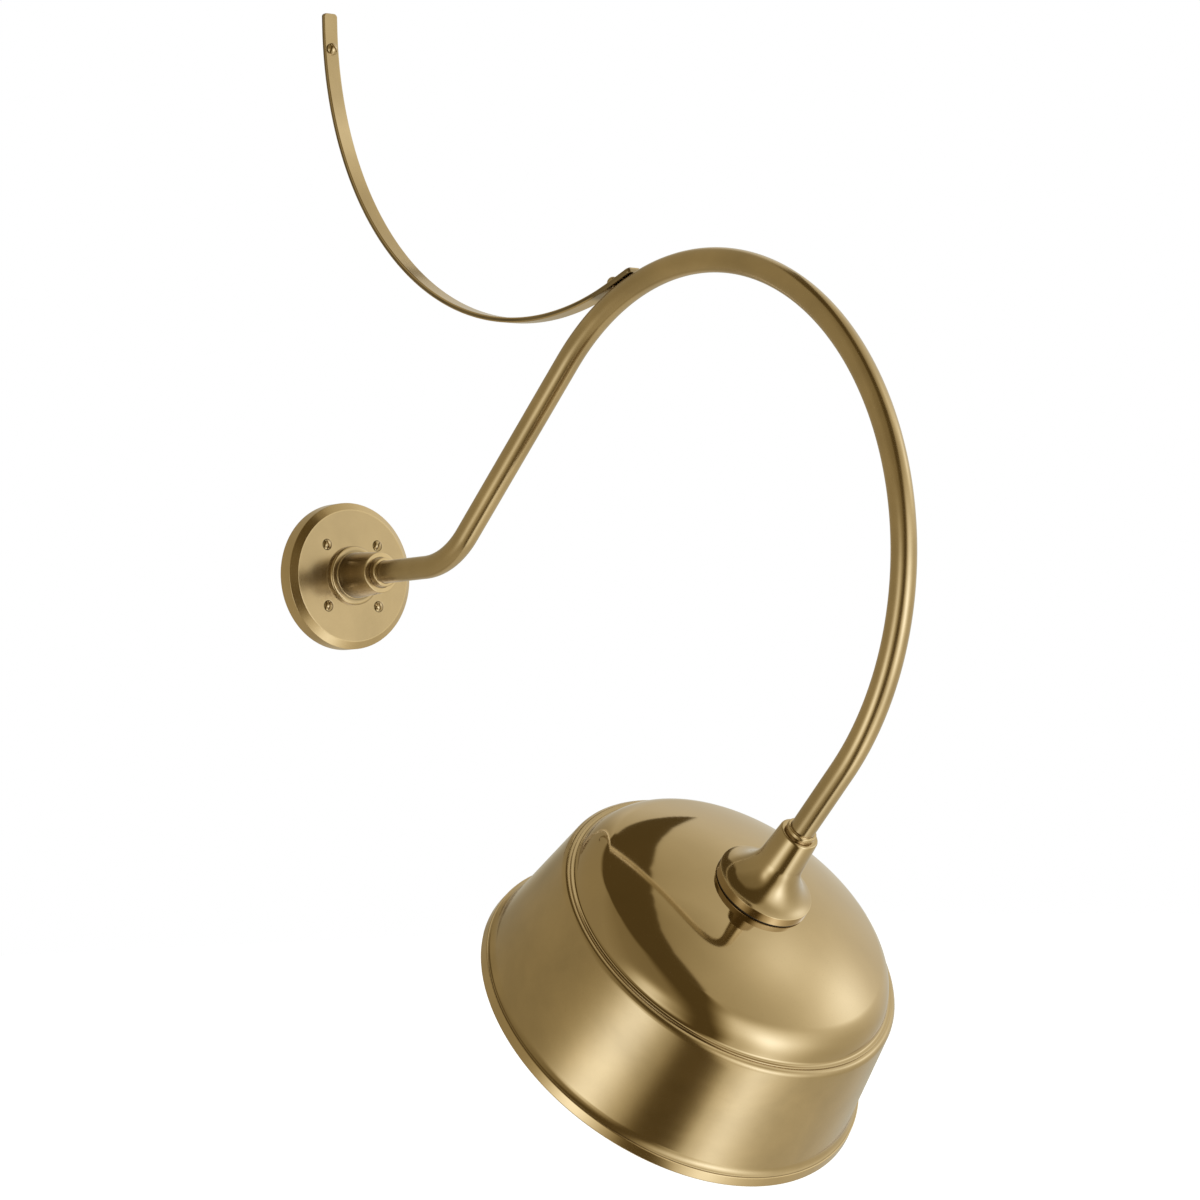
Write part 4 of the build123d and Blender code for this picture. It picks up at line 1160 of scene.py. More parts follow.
# ---------------------------------------------------------------- arm and stay
@dataclass
class ArmTube:
    """Bent brass tube."""

    line: ArmLine = field(default_factory=ArmLine)
    columns: int = 72

    def build(self, shop: Workshop) -> None:
        """Make the tube: its outside down the line and its inside back again."""
        points, headings, length = self.line.course().line()
        angle = np.arange(self.columns) * 2 * math.pi / self.columns
        ring = np.stack([np.cos(angle), np.sin(angle)], -1)
        inner = self.line.tube_radius - self.line.tube_wall
        radii = np.concatenate([np.full(len(points), self.line.tube_radius),
                                np.full(len(points), inner)])
        there = np.concatenate([points, points[::-1]])
        heading = np.concatenate([headings, headings[::-1]])
        far = np.concatenate([length, length[::-1]])
        skin = swept(there, heading, far, radii[:, None, None] * ring[None],
                     np.zeros(self.columns), True)
        shop.hang("arm_tube_bent", skin, TUBE_BRASS, ["arm_tube"])


@dataclass
class Stay:
    """Flat bar from the wall to the top of the arm, with its two screws, in millimetres."""

    width: float = 14.2
    thickness: float = 4.2
    edge_round: float = 1.3
    corner_round: float = 3.0
    end_round: float = 0.35
    top: float = 481.4
    foot: float = 11.4
    rise_degrees: float = 19.0
    tail: float = 25.0
    wall_drop: float = 30.9
    arm_back: float = 27.6
    shank: float = 2.3
    wall_head: tuple[float, float] = (5.2, 4.2)
    arm_head: tuple[float, float] = (4.8, 5.2)
    painted_shade_length: float = 56.0  # painted shade: length at the low end whose sides and underside are darkened
    line: ArmLine = field(default_factory=ArmLine)

    def bend(self) -> tuple[float, float]:
        """Height where the curve starts, and the radius that makes the bar touch the arm."""
        rise = math.radians(self.rise_degrees)
        start = self.top - self.foot
        out, up = self.line.crook_centre()
        reach = out * math.sin(rise) + (start - up) * math.cos(rise)
        outer = (reach - self.line.crook_radius - self.line.tube_radius) / (1 + math.sin(rise))
        return start, outer - self.thickness / 2

    def strap_skin(self) -> Skin:
        """The bar, carried along its line.

        Its section is a rectangle with round edges. Towards each end the half width
        shrinks along a quarter circle of the corner's radius, and the half thickness
        along a smaller one, and a last ring in the middle closes the end.
        """
        _, radius = self.bend()
        near = self.corner_round * (1 - np.cos(np.linspace(0, math.pi / 2, 13)))
        course = Course((0, -self.thickness / 2, self.top), (0, 0, -1))
        for step in np.diff(near):
            course.run(float(step))
        course.run(self.foot - self.corner_round, 4)
        course.turn((0, -1, 0), radius, 90 + self.rise_degrees, 150)
        course.run(self.tail - self.corner_round, 6)
        for step in np.diff(near)[::-1]:
            course.run(float(step))
        points, headings, length = course.line()
        left = np.minimum(length, length[-1] - length)
        half_width = self.width / 2 - self.corner_round + self._quarter(left, self.corner_round)
        half_thick = self.thickness / 2 - self.end_round + self._quarter(left, self.end_round)
        corner = np.radians(np.linspace(0, 90, 7))
        turn = np.concatenate([corner + k * math.pi / 2 for k in range(4)])
        sign_p = np.repeat([1, -1, -1, 1], 7)
        sign_q = np.repeat([1, 1, -1, -1], 7)
        p = sign_p * (half_width[:, None] - self.edge_round) + self.edge_round * np.cos(turn)
        q = sign_q * (half_thick[:, None] - self.edge_round) + self.edge_round * np.sin(turn)
        ring = np.stack([p, q], -1)
        ring = np.concatenate([ring[:1] * 0, ring, ring[-1:] * 0])
        points = np.concatenate([points[:1], points, points[-1:]])
        headings = np.concatenate([headings[:1], headings, headings[-1:]])
        length = np.concatenate([length[:1], length, length[-1:]])
        edge = np.where(np.isin(np.arange(28) % 7, (2, 3, 4)), 0.8, 0.0)
        edge[[0, 13, 14, 27]] = -1.0  # painted shade on both side faces, all along the bar
        skin = swept(points, headings, length, ring, edge, False)
        # Painted shade: beside the tube the sides and the underside are darkened.
        by_tube = np.clip((length - length[-1] + self.painted_shade_length) / 12, 0, 1)[:, None]
        low = np.clip((self.thickness / 2 - 0.5 - ring[..., 1]) / 0.6, 0, 1)
        skin.edge = (skin.edge.reshape(len(points), -1) * (1 - by_tube * low)
                     - by_tube * low).ravel()
        return skin

    @staticmethod
    def _quarter(left: np.ndarray, radius: float) -> np.ndarray:
        """Rise of a quarter circle that starts at the end, for the length left to it."""
        gone = np.clip(radius - left, 0, radius)
        return np.sqrt(radius**2 - gone**2)

    def wall_screw_stand(self) -> Stand:
        """Seat of the wall screw on the bar's outer face."""
        _, radius = self.bend()
        below = self.wall_drop + self.wall_head[0] - self.foot
        outer = radius + self.thickness / 2
        depth = outer - math.sqrt(outer**2 - below**2) + self.thickness
        return Stand((0, -depth, self.top - self.wall_drop), (1, 0, 0), (0, -1, 0))

    def arm_screw_stand(self) -> Stand:
        """Seat of the arm screw on the bar's upper face, square to the arm."""
        start, radius = self.bend()
        lean = math.radians(self.rise_degrees) - (self.arm_back - self.tail) / radius
        inner = math.sqrt((radius - self.thickness / 2)**2 - self.arm_head[0]**2)
        out = self.thickness / 2 + radius + inner * math.sin(lean)
        up = start - inner * math.cos(lean)
        return Stand((0, -out, up), (1, 0, 0), (0, math.sin(lean), math.cos(lean)))

    def build(self, shop: Workshop) -> None:
        """Make the bar and both screws."""
        shop.hang("stay_bar", self.strap_skin(), STAY_BRASS, ["stay_strap"])
        seat = self.wall_screw_stand()
        radius, height = self.wall_head
        screw = SlottedScrew(radius, height, height / 4, 0.0, self.shank, -seat.origin[1])
        shop.hang("stay_wall_screw_head", screw.skin(35).placed(seat), SCREW_BRASS,
                  ["stay_wall_screw"], crisp=40)
        radius, height = self.arm_head
        reach = self.thickness + self.line.tube_wall + 2.0
        screw = SlottedScrew(radius, height, height / 4, 0.0, self.shank, reach)
        shop.hang("stay_arm_screw_head", screw.skin(70).placed(self.arm_screw_stand()),
                  SCREW_BRASS, ["stay_arm_screw"], crisp=40)


# ---------------------------------------------------------------- fitter
@dataclass
class Fitter:
    """Collar, cast trumpet and rubber ring on top of the shade, in millimetres."""

    collar_radius: float = 11.7
    collar_height: float = 3.0
    cove_radius: float = 10.6
    cove_height: float = 1.5
    top_radius: float = 15.3
    top_round: float = 1.6
    neck_radius: float = 17.7
    flare: float = 20.0
    bell: float = 30.0  # radius of the trumpet's outer curve
    bell_neck: float = 17.2  # radius of the neck that this curve would narrow to
    lip_height: float = 7.0
    lip_thickness: float = 4.6
    length: float = 59.7
    wall: float = 3.0
    socket: float = 15.0
    web: float = 12.5
    bore: float = 6.65
    tube_socket: float = 9.625
    gasket_inset: float = 0.5
    gasket_edge: float = 1.0
    gasket_width: float = 3.2

    def build(self, shop: Workshop, crown_centre: float, crown_radius: float) -> None:
        """Make the three pieces.

        Args:
            shop: the workshop.
            crown_centre: height of the centre of the shade's crown.
            crown_radius: its radius.
        """
        low = -self.cove_height - self.collar_height
        collar = Outline()
        collar.to(self.tube_socket, low).to(self.collar_radius, low, 0.8)
        collar.to(self.collar_radius, -self.cove_height, 0.5)
        collar.to(self.cove_radius, -self.cove_height, 0.25).to(self.cove_radius, 0)
        collar.to(self.tube_socket, 0)
        shop.hang("fitter_collar_ring", turned(collar, 128).placed(SHADE_STAND), SATIN_BRASS,
                  ["fitter_collar"])
        lip = self.neck_radius + self.flare
        lip_top = self.length - self.lip_height
        centre = (lip, lip_top - self.flare)
        inner = self.flare + self.wall
        seat = lip - self.lip_thickness
        end = 180 - math.degrees(math.acos(self.lip_thickness / inner))
        floor = self.socket + self.web
        body = Outline()
        body.to(self.bore, self.socket).to(self.tube_socket, self.socket)
        body.to(self.tube_socket, 0, 0.4).to(self.top_radius, 0, self.top_round)
        bell = (self.bell_neck + self.bell, lip_top - math.sqrt(
            self.bell**2 - (self.bell_neck + self.bell - lip)**2))
        last = 180 - math.degrees(math.acos((bell[0] - lip) / self.bell))
        body.bow(bell, self.bell, 175.5, last + 1.2, 32).to(lip, lip_top, 0.6)
        body.to(lip, self.length, 0.6).to(seat, self.length, 0.3)
        body.bow(centre, inner, end, 180, 16).to(self.neck_radius - self.wall, floor, 0.6)
        body.to(self.bore, floor)
        shop.hang("shade_fitter_cast", turned(body, 192, 6).placed(SHADE_STAND), CAST_BRASS,
                  ["shade_fitter"])
        outer = lip - self.gasket_inset
        inside = outer - self.gasket_width

        def crown(radius: float) -> float:
            """Height of the crown's outside."""
            return crown_centre - math.sqrt(crown_radius**2 - radius**2)

        ring = Outline().to(inside, self.length).to(outer, self.length, 0.4)
        ring.to(outer, crown(outer), 0.4).to(inside, crown(inside))
        shop.hang("fitter_gasket_ring", turned(ring, 160).placed(SHADE_STAND), RUBBER,
                  ["fitter_gasket"])


# ---------------------------------------------------------------- shade
@dataclass
class Shade:
    """Spun dome and skirt, in millimetres, with heights counted from the fitter's top."""

    sheet: float = 1.2
    crown_radius: float = 262.2
    knuckle: float = 30.6
    dome_radius: float = 131.0
    dome_depth: float = 47.8
    flange: float = 4.0
    cove: float = 3.0
    margin: float = 4.6
    shoulder: float = 7.5
    lap: float = 1.0
    taper_degrees: float = 8.85
    cone_depth: float = 87.95
    flare_depth: float = 5.3
    flare_width: float = 4.1
    rim_standout: float = 1.3
    rim_spread: float = 1.4
    rim_height: float = 8.1
    rim_groove: float = 0.3
    rim_top_round: float = 0.8
    rim_round: float = 1.0
    hole: float = 6.7
    fitter: Fitter = field(default_factory=Fitter)
    steps: int = 288

    def __post_init__(self) -> None:
        """Work out the heights that follow from the sizes."""
        seat = self.fitter.neck_radius + self.fitter.flare - self.fitter.gasket_inset
        drop = self.crown_radius - math.sqrt(self.crown_radius**2 - seat**2)
        self.apex = self.fitter.length + self.fitter.gasket_edge - drop
        self.crown_centre = self.apex + self.crown_radius
        self.knuckle_radius = self.dome_radius - self.knuckle
        reach = self.crown_radius - self.knuckle
        self.knuckle_centre = self.crown_centre - math.sqrt(reach**2 - self.knuckle_radius**2)
        self.junction = math.degrees(math.asin(self.knuckle_radius / reach))
        self.seam = self.apex + self.dome_depth
        fall = self.knuckle_centre - self.seam
        self.foot = self.knuckle_radius + math.sqrt(self.knuckle**2 - fall**2)
        self.ledge_radius = self.foot + self.flange + self.margin
        self.ledge = self.seam + self.sheet
        self.flare_start = self.ledge + self.cone_depth
        self.rim_top = self.flare_start + self.flare_depth + self.rim_groove

    def crown_height(self, radius: float, skin: float) -> float:
        """Height of the crown, skin millimetres below its outside."""
        return self.crown_centre - math.sqrt((self.crown_radius - skin)**2 - radius**2)

    def dome_skin(self) -> Skin:
        """Dome: crown, knuckle, cove and a rounded flange, and the inside of the sheet."""
        t = self.sheet
        knuckle = (self.knuckle_radius, self.knuckle_centre)
        middle = (0.0, self.crown_centre)
        out_end = math.degrees(math.acos((self.knuckle_centre - self.seam) / self.knuckle))
        inside = self.knuckle - t
        in_end = math.degrees(math.acos((self.knuckle_centre - self.ledge) / inside))
        hole_out = math.degrees(math.asin(self.hole / self.crown_radius))
        hole_in = math.degrees(math.asin(self.hole / (self.crown_radius - t)))
        rim = (self.foot + self.flange - t / 2, self.seam + t / 2)
        line = Outline()
        line.bow(middle, self.crown_radius, hole_out - 90, self.junction - 90, 64)
        angle = np.radians(np.linspace(self.junction - 90, out_end - 90, 49)[1:-1])
        for a in angle:
            line.to(knuckle[0] + self.knuckle * math.cos(a),
                    knuckle[1] + self.knuckle * math.sin(a), 0)
        # The cove between the wall and the flange is the arc that touches both.
        reach = self.knuckle + self.cove
        cove_height = self.seam - self.cove
        cove_radius = knuckle[0] + math.sqrt(reach**2 - (self.knuckle_centre - cove_height)**2)
        touch = math.degrees(math.atan2(cove_height - knuckle[1], cove_radius - knuckle[0]))
        keep = [k for k, p in enumerate(line.spots)
                if math.hypot(p[0], p[1] - self.crown_centre) < self.crown_radius - 1e-6
                and math.degrees(math.atan2(p[1] - knuckle[1], p[0] - knuckle[0])) > touch - 1
                and p[0] > knuckle[0]]
        for k in sorted(keep, reverse=True):
            del line.spots[k], line.rounds[k]
        line.bow((cove_radius, cove_height), self.cove, touch + 180, 90, 10)
        line.bow(rim, t / 2, -90, 90, 8)
        line.bow(knuckle, inside, in_end - 90, self.junction - 90, 28)
        line.bow(middle, self.crown_radius - t, self.junction - 90, hole_in - 90, 48)
        return turned(line, self.steps)

    def skirt_skin(self) -> Skin:
        """Skirt: ledge, shoulder, cone, flare, groove and rolled rim."""
        t, slope = self.sheet, math.tan(math.radians(self.taper_degrees))
        skin = t / math.cos(math.radians(self.taper_degrees))
        ledge_in = self.dome_radius - t - self.lap
        cone = self.ledge_radius + self.cone_depth * slope
        flare = cone + self.flare_width
        rim_start = flare + self.rim_standout
        rim = rim_start + self.rim_spread
        rim_in = flare - t
        rim_end = self.rim_top + self.rim_height
        bend = np.array([[cone, self.flare_start],
                         [cone + self.flare_width * 0.36, self.flare_start
                          + self.flare_depth * 0.60],
                         [flare, self.flare_start + self.flare_depth]])
        line = Outline()
        line.to(ledge_in, self.ledge).to(self.ledge_radius, self.ledge, self.shoulder)
        for share in np.linspace(0.1, 0.9, 9):
            line.to(self.ledge_radius + (cone - self.ledge_radius) * share,
                    self.ledge + self.cone_depth * share, 0)
        for share in np.linspace(0, 1, 11):
            weight = np.array([(1 - share)**2, 2 * share * (1 - share), share**2])
            control = bend.copy()
            control[1] = 2 * bend[1] - (bend[0] + bend[2]) / 2
            spot = weight @ control
            line.to(spot[0], spot[1], 0)
        line.to(flare - self.rim_groove / 2, self.rim_top, 0.25)
        line.to(rim_start, self.rim_top, self.rim_top_round)
        line.to(rim, rim_end, self.rim_round).to(rim_in, rim_end, self.rim_round / 2)
        line.to(rim_in, self.rim_top, 0.5).to(cone - skin, self.flare_start, 0.8)
        line.to(self.ledge_radius + t * slope - skin, self.ledge + t, self.shoulder - t)
        line.to(ledge_in, self.ledge + t)
        return turned(line, self.steps)

    def build(self, shop: Workshop) -> None:
        """Make the fitter, the dome and the skirt."""
        self.fitter.build(shop, self.crown_centre, self.crown_radius)
        shop.hang("shade_dome_spun", self.dome_skin().placed(SHADE_STAND), MIRROR_BRASS,
                  ["shade_dome"])
        shop.hang("shade_skirt_spun", self.skirt_skin().placed(SHADE_STAND), BRUSHED_BRASS,
                  ["shade_skirt"])


# ---------------------------------------------------------------- lampholder
@dataclass
class Lampholder:
    """Cap, porcelain body and threaded shell inside the shade, in millimetres."""

    radius: float = 19.0
    cap_height: float = 21.0
    cap_top: float = 5.0
    cap_wall: float = 2.0
    body_height: float = 38.0
    body_floor: float = 7.0
    contact_room: float = 5.0
    contact_well: float = 9.5
    shell_radius: float = 13.2
    shell_sheet: float = 0.4
    shell_gap: float = 0.4
    shell_inset: float = 3.0
    bore: float = 6.65
    washer: float = 1.6
    nut: float = 4.0
    washer_radius: float = 13.0
    thread_pitch: float = 3.6
    thread_depth: float = 0.35

    def build(self, shop: Workshop, shade: Shade) -> None:
        """Make the cap, the body and the shell."""
        seat = shade.crown_height(self.washer_radius, shade.sheet)
        low = seat + self.washer + self.nut
        joint = low + self.cap_height
        end = joint + self.body_height
        cap = Outline()
        cap.to(self.bore, low).to(self.radius, low, 1.5).to(self.radius, joint, 0.3)
        cap.to(self.radius - self.cap_wall, joint, 0.3)
        cap.to(self.radius - self.cap_wall, low + self.cap_top, 0.5)
        cap.to(self.bore, low + self.cap_top)
        shop.hang("lampholder_cap_cup", turned(cap, 128).placed(SHADE_STAND), CAP_METAL,
                  ["lampholder_cap"])
        well = self.shell_radius + self.shell_sheet + self.shell_gap
        ledge = joint + self.body_floor + self.contact_room
        body = Outline()
        body.to(0, joint, 0).to(self.radius, joint, 0.5).to(self.radius, end, 1.5)
        body.to(well, end, 0.8).to(well, ledge).to(self.contact_well, ledge, 0.3)
        body.to(self.contact_well, joint + self.body_floor, 0.6)
        body.to(0, joint + self.body_floor, 0)
        shop.hang("lampholder_body_porcelain", turned(body, 144).placed(SHADE_STAND),
                  PORCELAIN, ["lampholder_body"])
        shop.hang("screw_shell_threaded", self.shell_skin(ledge, end).placed(SHADE_STAND),
                  CONTACT_BRASS, ["screw_shell"])

    def shell_skin(self, low: float, end: float) -> Skin:
        """Shell with a rolled thread.

        The radius at a height and a turn is the shell's, plus nine tenths of the thread's
        depth times half of one minus the cosine of the phase, which is the height over
        the pitch less the turn. The thread fades out towards the floor and the mouth. The
        outside follows the inside.

        Args:
            low: height of the ledge that the shell stands on.
            end: height of the body's mouth.

        Returns:
            The closed surface.
        """
        steps = 144
        mouth = end - self.shell_inset
        outer = self.shell_radius + self.shell_sheet
        foot, floor = low + 0.05, low + self.shell_sheet
        heights = np.linspace(low + 0.8, mouth - 0.6, 90)
        angle = np.arange(steps) * 2 * math.pi / steps
        phase = 2 * math.pi * (heights[:, None] - low) / self.thread_pitch - angle
        fade = (np.clip((heights - low - 1.5) / 2.5, 0, 1)
                * np.clip((mouth - 1.2 - heights) / 2, 0, 1))[:, None]
        inner = self.shell_radius + self.thread_depth * 0.5 * (1 - np.cos(phase)) * fade * 0.9

        def circle(radius: float) -> np.ndarray:
            """One row of the same radius."""
            return np.full((1, steps), radius)

        radii = np.concatenate([circle(self.contact_well + 0.2), circle(self.contact_well + 0.2),
                                circle(self.shell_radius - 0.3), inner,
                                circle(self.shell_radius), circle(outer),
                                inner[::-1] + self.shell_sheet * 0.9, circle(outer)])
        levels = np.concatenate([[foot, floor, floor], heights, [mouth, mouth],
                                 heights[::-1], [foot]])
        # This line runs up the inside and down the outside, so its rows are reversed.
        radii, levels = radii[::-1], levels[::-1]
        x, y = radii * np.cos(angle), radii * np.sin(angle)
        z = np.repeat(levels[:, None], steps, axis=1)
        points = np.stack([x, y, z], -1)
        rows = np.linspace(0, 1, len(levels) + 1)
        return grid_skin(points, points * MM, np.zeros(len(levels)), True, rows)


@dataclass(frozen=True)
class KeptNodes:
    """CAD nodes whose own shape is right, each with its finish."""

    finishes: tuple[tuple[str, Brass | Plain], ...] = (
        ("mounting_disc", ZINC_STEEL), ("hub_nipple", ZINC_STEEL),
        ("hub_washer", ZINC_STEEL), ("hub_locknut", ZINC_STEEL),
        ("fitter_nipple", ZINC_STEEL), ("fitter_washer", ZINC_STEEL),
        ("fitter_locknut", ZINC_STEEL), ("lampholder_screws", ZINC_STEEL),
        ("ground_screw", GREEN_STEEL), ("centre_contact", CONTACT_BRASS),
        ("live_lead", BLACK_INSULATION), ("neutral_lead", WHITE_INSULATION),
        ("ground_lead", GREEN_INSULATION), ("wire_nuts", CONNECTOR_PLASTIC))

    def build(self, shop: Workshop) -> None:
        """Dress each of them."""
        for node, kind in self.finishes:
            shop.dress(node, kind)


# ---------------------------------------------------------------- studio
Panel = tuple[float, tuple[float, float], tuple[float, float]]  # level, place and size
Curve = tuple[tuple[float, ...], tuple[float, ...]]  # values by direction


@dataclass
class LightTent:
    """Round tent of soft panels about the sconce, which lights it evenly.

    Directions are in degrees: az counts from -Y towards +X, el up from the floor. A level
    of 1 is a plain white panel. The panels are lit from behind, with two dark gaps: an
    upright one beside the camera, and the open top.
    """

    radius: float = 25.0
    centre: tuple[float, float, float] = (0.0, -0.5, -0.2)
    dark: float = 0.13
    behind: float = 0.44
    front_panel: Panel = (1.15, (12, 0), (24, 60))
    right_panels: tuple[Panel, ...] = (
        (0.75, (64, 22), (16, 9)), (0.50, (8, -22), (12, 18)), (0.30, (50, 40), (18, 8)),
        (0.30, (134, 8), (14, 12)), (0.60, (20, -70), (45, 15)))
    left_panels: tuple[Panel, ...] = ((0.75, (-73, -6), (16, 12)),
                                      (1.3, (-90, -27), (18, 16)))
    shade_panel: Panel = (0.4, (141, 3), (26, 26))
    right_by_el: Curve = ((-90, -30, -8, 8, 30, 45, 60, 68, 78),
                          (0.75, 0.68, 0.75, 0.92, 0.92, 0.92, 0.74, 0.66, 0.55))
    right_by_az: Curve = ((-60, 0, 15, 30, 45, 60, 100, 140, 180),
                          (0.6, 0.6, 0.7, 0.85, 1, 1, 1, 0.95, 0.5))
    left_by_az: Curve = ((-180, -105, -75, -40), (0.44, 0.44, 0.35, 0.32))
    left_by_el: Curve = ((-90, -45, 0, 90), (1.3, 1.1, 1.0, 1.0))
    left_edge: Curve = ((-90, -50, -38, -17, 3, 29, 48, 60, 66, 71, 76, 78),
                        (-80, -72, -62, -48, -41, -39, -39, -50, -56, -69, -87, -154))
    right_edge: Curve = ((-90, -67, -58, -38, -13, 12, 31, 42, 47, 56, 62, 65, 69, 73, 76),
                         (-28, -31, -40, -27, -21, -11, -1, 5.5, 4, 1.5, 2.5, 4, 9, 18, 33))
    right_soft: Curve = ((-90, 20, 40, 44), (11, 10, 2.0, 0.5))
    left_soft: Curve = ((-90, 0, 60), (9, 9, 8))
    top: Curve = ((-180, -160, -119, -87, -60, 0, 9, 18, 33, 60, 84, 92, 99, 104, 109, 112,
                   115, 119, 122, 123, 126, 131, 132.5, 141, 160, 180),
                  (74, 76, 77, 76, 76, 66, 69, 73, 76.3, 77.5, 76, 74, 72, 70, 67.5, 65,
                   61.5, 54, 44, 41, 50, 60.5, 65, 67, 71, 74))
    top_soft: Curve = ((-180, -60, -10, 0, 132, 140, 160, 180),
                       (4, 4, 2, 0.5, 0.5, 1.5, 3, 4))
    middle_level: float = 0.804
    green: tuple[float, float] = (0.797, 1.14)
    blue: tuple[float, float] = (0.735, 1.5)

    @staticmethod
    def _smooth(value: np.ndarray) -> np.ndarray:
        """Ease from 0 to 1 between the values -1 and 1."""
        share = np.clip((value + 1) / 2, 0, 1)
        return share * share * (3 - 2 * share)

    @staticmethod
    def _lobe(az: np.ndarray, el: np.ndarray, panel: Panel) -> np.ndarray:
        """Round soft panel: its level on the bell curve of the distance in its own size."""
        strength, at, size = panel
        gap = (az - at[0] + 180) % 360 - 180
        return strength * np.exp(-(gap / size[0])**2 - ((el - at[1]) / size[1])**2)

    def level(self, az: np.ndarray, el: np.ndarray) -> np.ndarray:
        """Brightness of the tent in each direction.

        Each side's level is a curve of el times one of az, plus its panels. A side fades
        into the dark across its edge, and both do so below the open top.

        Args:
            az, el: the directions.

        Returns:
            The level of each.
        """
        right = np.interp(el, *self.right_by_el)
        near = np.interp(az, *self.right_by_az)
        high = self._smooth((el - 15) / 20)
        right = right * (1 - high + high * near)
        left = np.interp(az, *self.left_by_az) * np.interp(el, *self.left_by_el)
        right = right + self._lobe(az, np.minimum(el, 0), self.front_panel) * (
            self._smooth((2 - el) / 24))
        for panel in self.right_panels:
            right = right + self._lobe(az, el, panel)
        for panel in self.left_panels:
            left = left + self._lobe(az, el, panel)
        # The right side eases into the left one behind the wall, from az 141 to 169.
        back = self._smooth((az - 155) / 14)
        right = right * (1 - back) + self.behind * back
        lit_right = self._smooth((az - np.interp(el, *self.right_edge))
                                 / np.interp(el, *self.right_soft))
        lit_left = self._smooth((np.interp(el, *self.left_edge) - az)
                                / np.interp(el, *self.left_soft))
        lit_top = self._smooth((np.interp(az, *self.top) - el)
                               / np.interp(az, *self.top_soft))
        level = (self.dark + (right - self.dark) * lit_right * lit_top
                 + (left - self.dark) * lit_left * lit_top)
        return level * (1 - self._lobe(az, el, self.shade_panel))

    def build(self) -> None:
        """Make the tent as a sphere of directions, seen only by what it lights.

        A point is the radius along its direction, on a grid of az and el that is finer
        round the dark gaps. Its colour follows its level: fainter light is warmer.
        """
        az = np.concatenate([np.arange(-180, -70, 2.0), np.arange(-70, 140, 0.5),
                             np.arange(140, 180, 2.0)])
        el = np.concatenate([np.arange(-90, 30, 1.5), np.arange(30, 90.1, 0.5)])
        far, up = np.meshgrid(az, el, indexing="ij")
        a, e = np.radians(far), np.radians(up)
        way = np.stack([np.sin(a) * np.cos(e), -np.cos(a) * np.cos(e), np.sin(e)], -1)
        points = np.array(self.centre) + self.radius * way
        level = self.level(far, up)
        share = level / self.middle_level
        colour = np.stack([level, self.green[0] * share**self.green[1],
                           self.blue[0] * share**self.blue[1], np.ones_like(level)], -1)
        number = np.arange(far.size).reshape(far.shape)
        following = np.roll(number, -1, axis=0)
        quads = np.stack([number[:, :-1], number[:, 1:], following[:, 1:],
                          following[:, :-1]], -1).reshape(-1, 4)
        mesh = bpy.data.meshes.new("light_tent")
        mesh.from_pydata(points.reshape(-1, 3).tolist(), [], quads.tolist())
        tint = mesh.attributes.new("glow", "FLOAT_COLOR", "POINT")
        tint.data.foreach_set("color", colour.astype(np.float32).ravel())
        cloth = bpy.data.materials.new("tent_cloth")
        sheet = Sheet.blank(cloth)
        glow = sheet.add("Attribute", {"attribute_name": "glow"}).outputs["Color"]
        sheet.surface(sheet.add("Emission", None, Color=glow, Strength=1.0))
        cloth.cycles.emission_sampling = "NONE"
        mesh.materials.append(cloth)
        tent = linked("light_tent", mesh)
        tent.visible_camera = False
        tent.visible_shadow = False
        LOG.info("light_tent: %d faces", len(mesh.polygons))


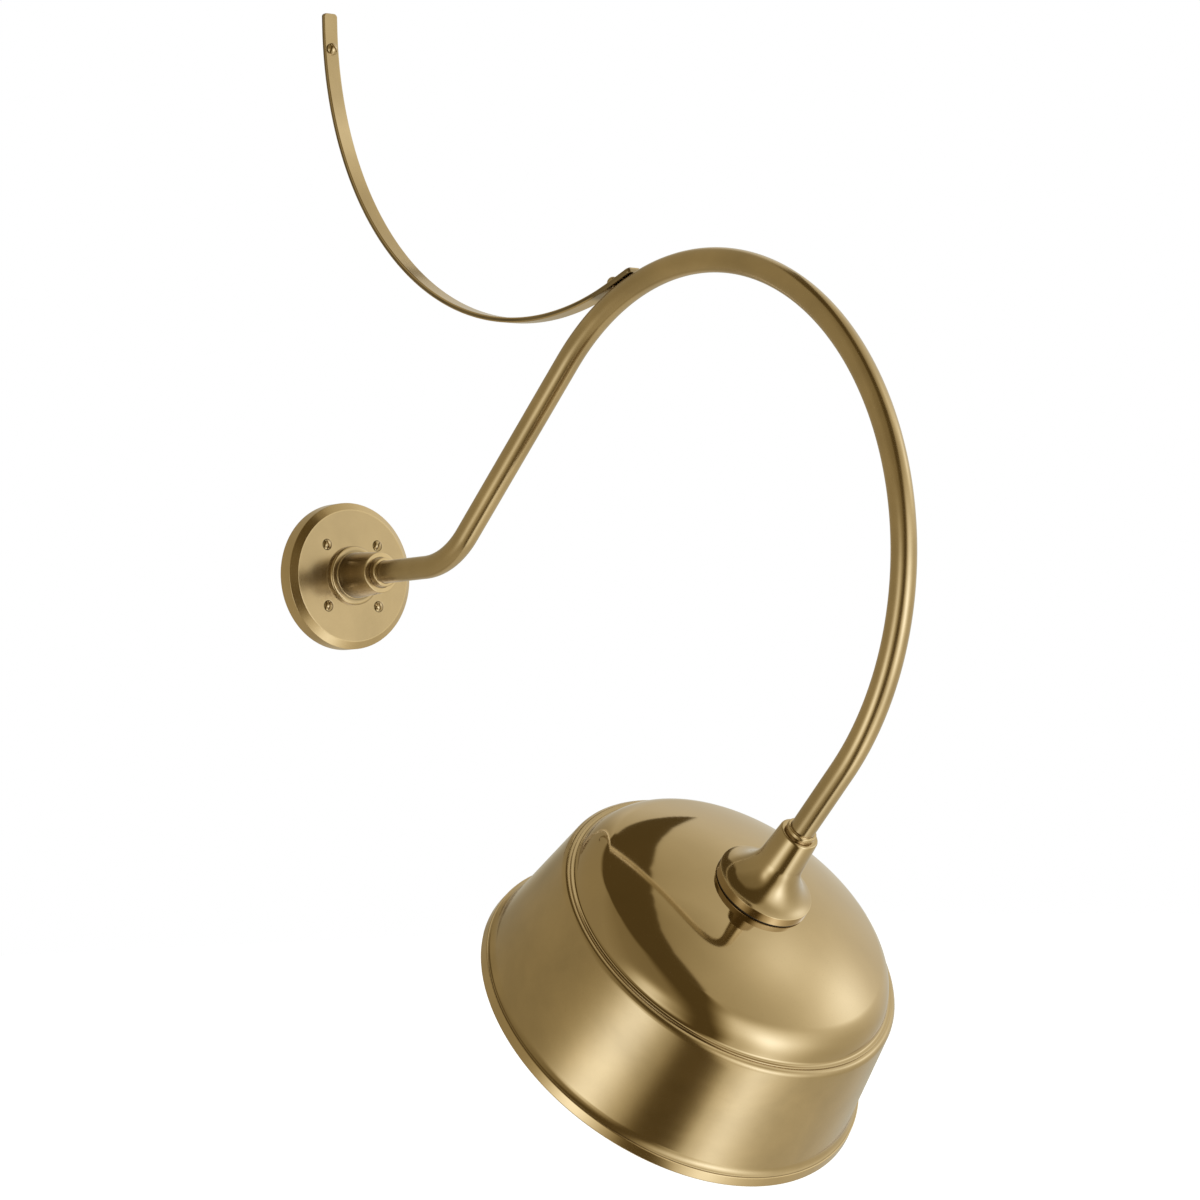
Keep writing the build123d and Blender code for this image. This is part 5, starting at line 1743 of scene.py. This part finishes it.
@dataclass
class Studio:
    """Floor, background and camera."""

    floor_height: float = -0.60
    floor_size: float = 9.0
    floor_colour: Colour = (0.80, 0.82, 0.86)
    floor_glow: float = 0.72
    world_level: float = 0.8
    lens: float = 118.0
    sensor: float = 36.0
    clip: tuple[float, float] = (0.05, 200.0)
    target: tuple[float, float, float] = (0.0, -0.34720, -0.04096)
    distance: float = 3.05741
    right: tuple[float, float, float] = (0.77784, -0.62788, -0.02700)
    up: tuple[float, float, float] = (-0.01531, -0.06187, 0.99796)
    back: tuple[float, float, float] = (-0.62827, -0.77585, -0.05774)

    @staticmethod
    def _background_ray(sheet: Sheet) -> bpy.types.NodeSocket:
        """1 for a ray from the camera, or one seen in metal or through glass."""
        path = sheet.add("LightPath").outputs
        first = sheet.math("MAXIMUM", path["Is Camera Ray"], path["Is Glossy Ray"])
        return sheet.math("MAXIMUM", first, path["Is Transmission Ray"])

    def _floor(self) -> None:
        """Pale floor: matt, with a glow towards the camera that brings it up to white."""
        half = self.floor_size
        mesh = bpy.data.meshes.new("floor")
        mesh.from_pydata([(-half, -half, self.floor_height), (half, -half, self.floor_height),
                          (half, half, self.floor_height), (-half, half, self.floor_height)],
                         [], [(0, 1, 2, 3)])
        paint = bpy.data.materials.new("floor_paint")
        sheet = Sheet.blank(paint)
        glow = sheet.math("MULTIPLY", self._background_ray(sheet), self.floor_glow)
        shader = sheet.add("BsdfPrincipled", None, Base_Color=(*self.floor_colour, 1.0),
                           Roughness=0.9, Specular_IOR_Level=0.0,
                           Emission_Color=(1, 1, 1, 1), Emission_Strength=glow)
        sheet.surface(shader)
        paint.cycles.emission_sampling = "NONE"
        mesh.materials.append(paint)
        floor = linked("floor", mesh)
        floor.visible_glossy = False

    def _world(self) -> None:
        """White background, and plain light of the same kind as the tent's."""
        world = bpy.data.worlds.new("studio")
        sheet = Sheet.blank(world)
        strength = sheet.math("MAXIMUM", self._background_ray(sheet), self.world_level)
        sheet.surface(sheet.add("Background", None, Color=(1, 1, 1, 1), Strength=strength),
                      "OutputWorld")
        bpy.context.scene.world = world

    def _camera(self) -> None:
        """Camera at the photograph's angle, a little rolled as it was."""
        data = bpy.data.cameras.new("camera")
        data.lens = self.lens
        data.sensor_width = self.sensor
        data.clip_start, data.clip_end = self.clip
        camera = linked("camera", data)
        place = np.array(self.target) + self.distance * np.array(self.back)
        turn = np.array([self.right, self.up, self.back]).T
        matrix = np.eye(4)
        matrix[:3, :3], matrix[:3, 3] = turn, place
        camera.matrix_world = Matrix(matrix.tolist())
        bpy.context.scene.camera = camera

    def build(self) -> None:
        """Set up the studio."""
        LightTent().build()
        self._floor()
        self._world()
        self._camera()
        bpy.context.scene.view_settings.view_transform = "Standard"


def main() -> None:
    """Build the sconce piece by piece, and the studio round it."""
    logging.basicConfig(level=logging.INFO, format="%(message)s")
    shop = Workshop(frame)
    shade = Shade()
    WallPlate().build(shop)
    ArmHub().build(shop)
    ArmTube().build(shop)
    Stay().build(shop)
    shade.build(shop)
    Lampholder().build(shop, shade)
    KeptNodes().build(shop)
    Studio().build()


if __name__ == "__main__":
    main()
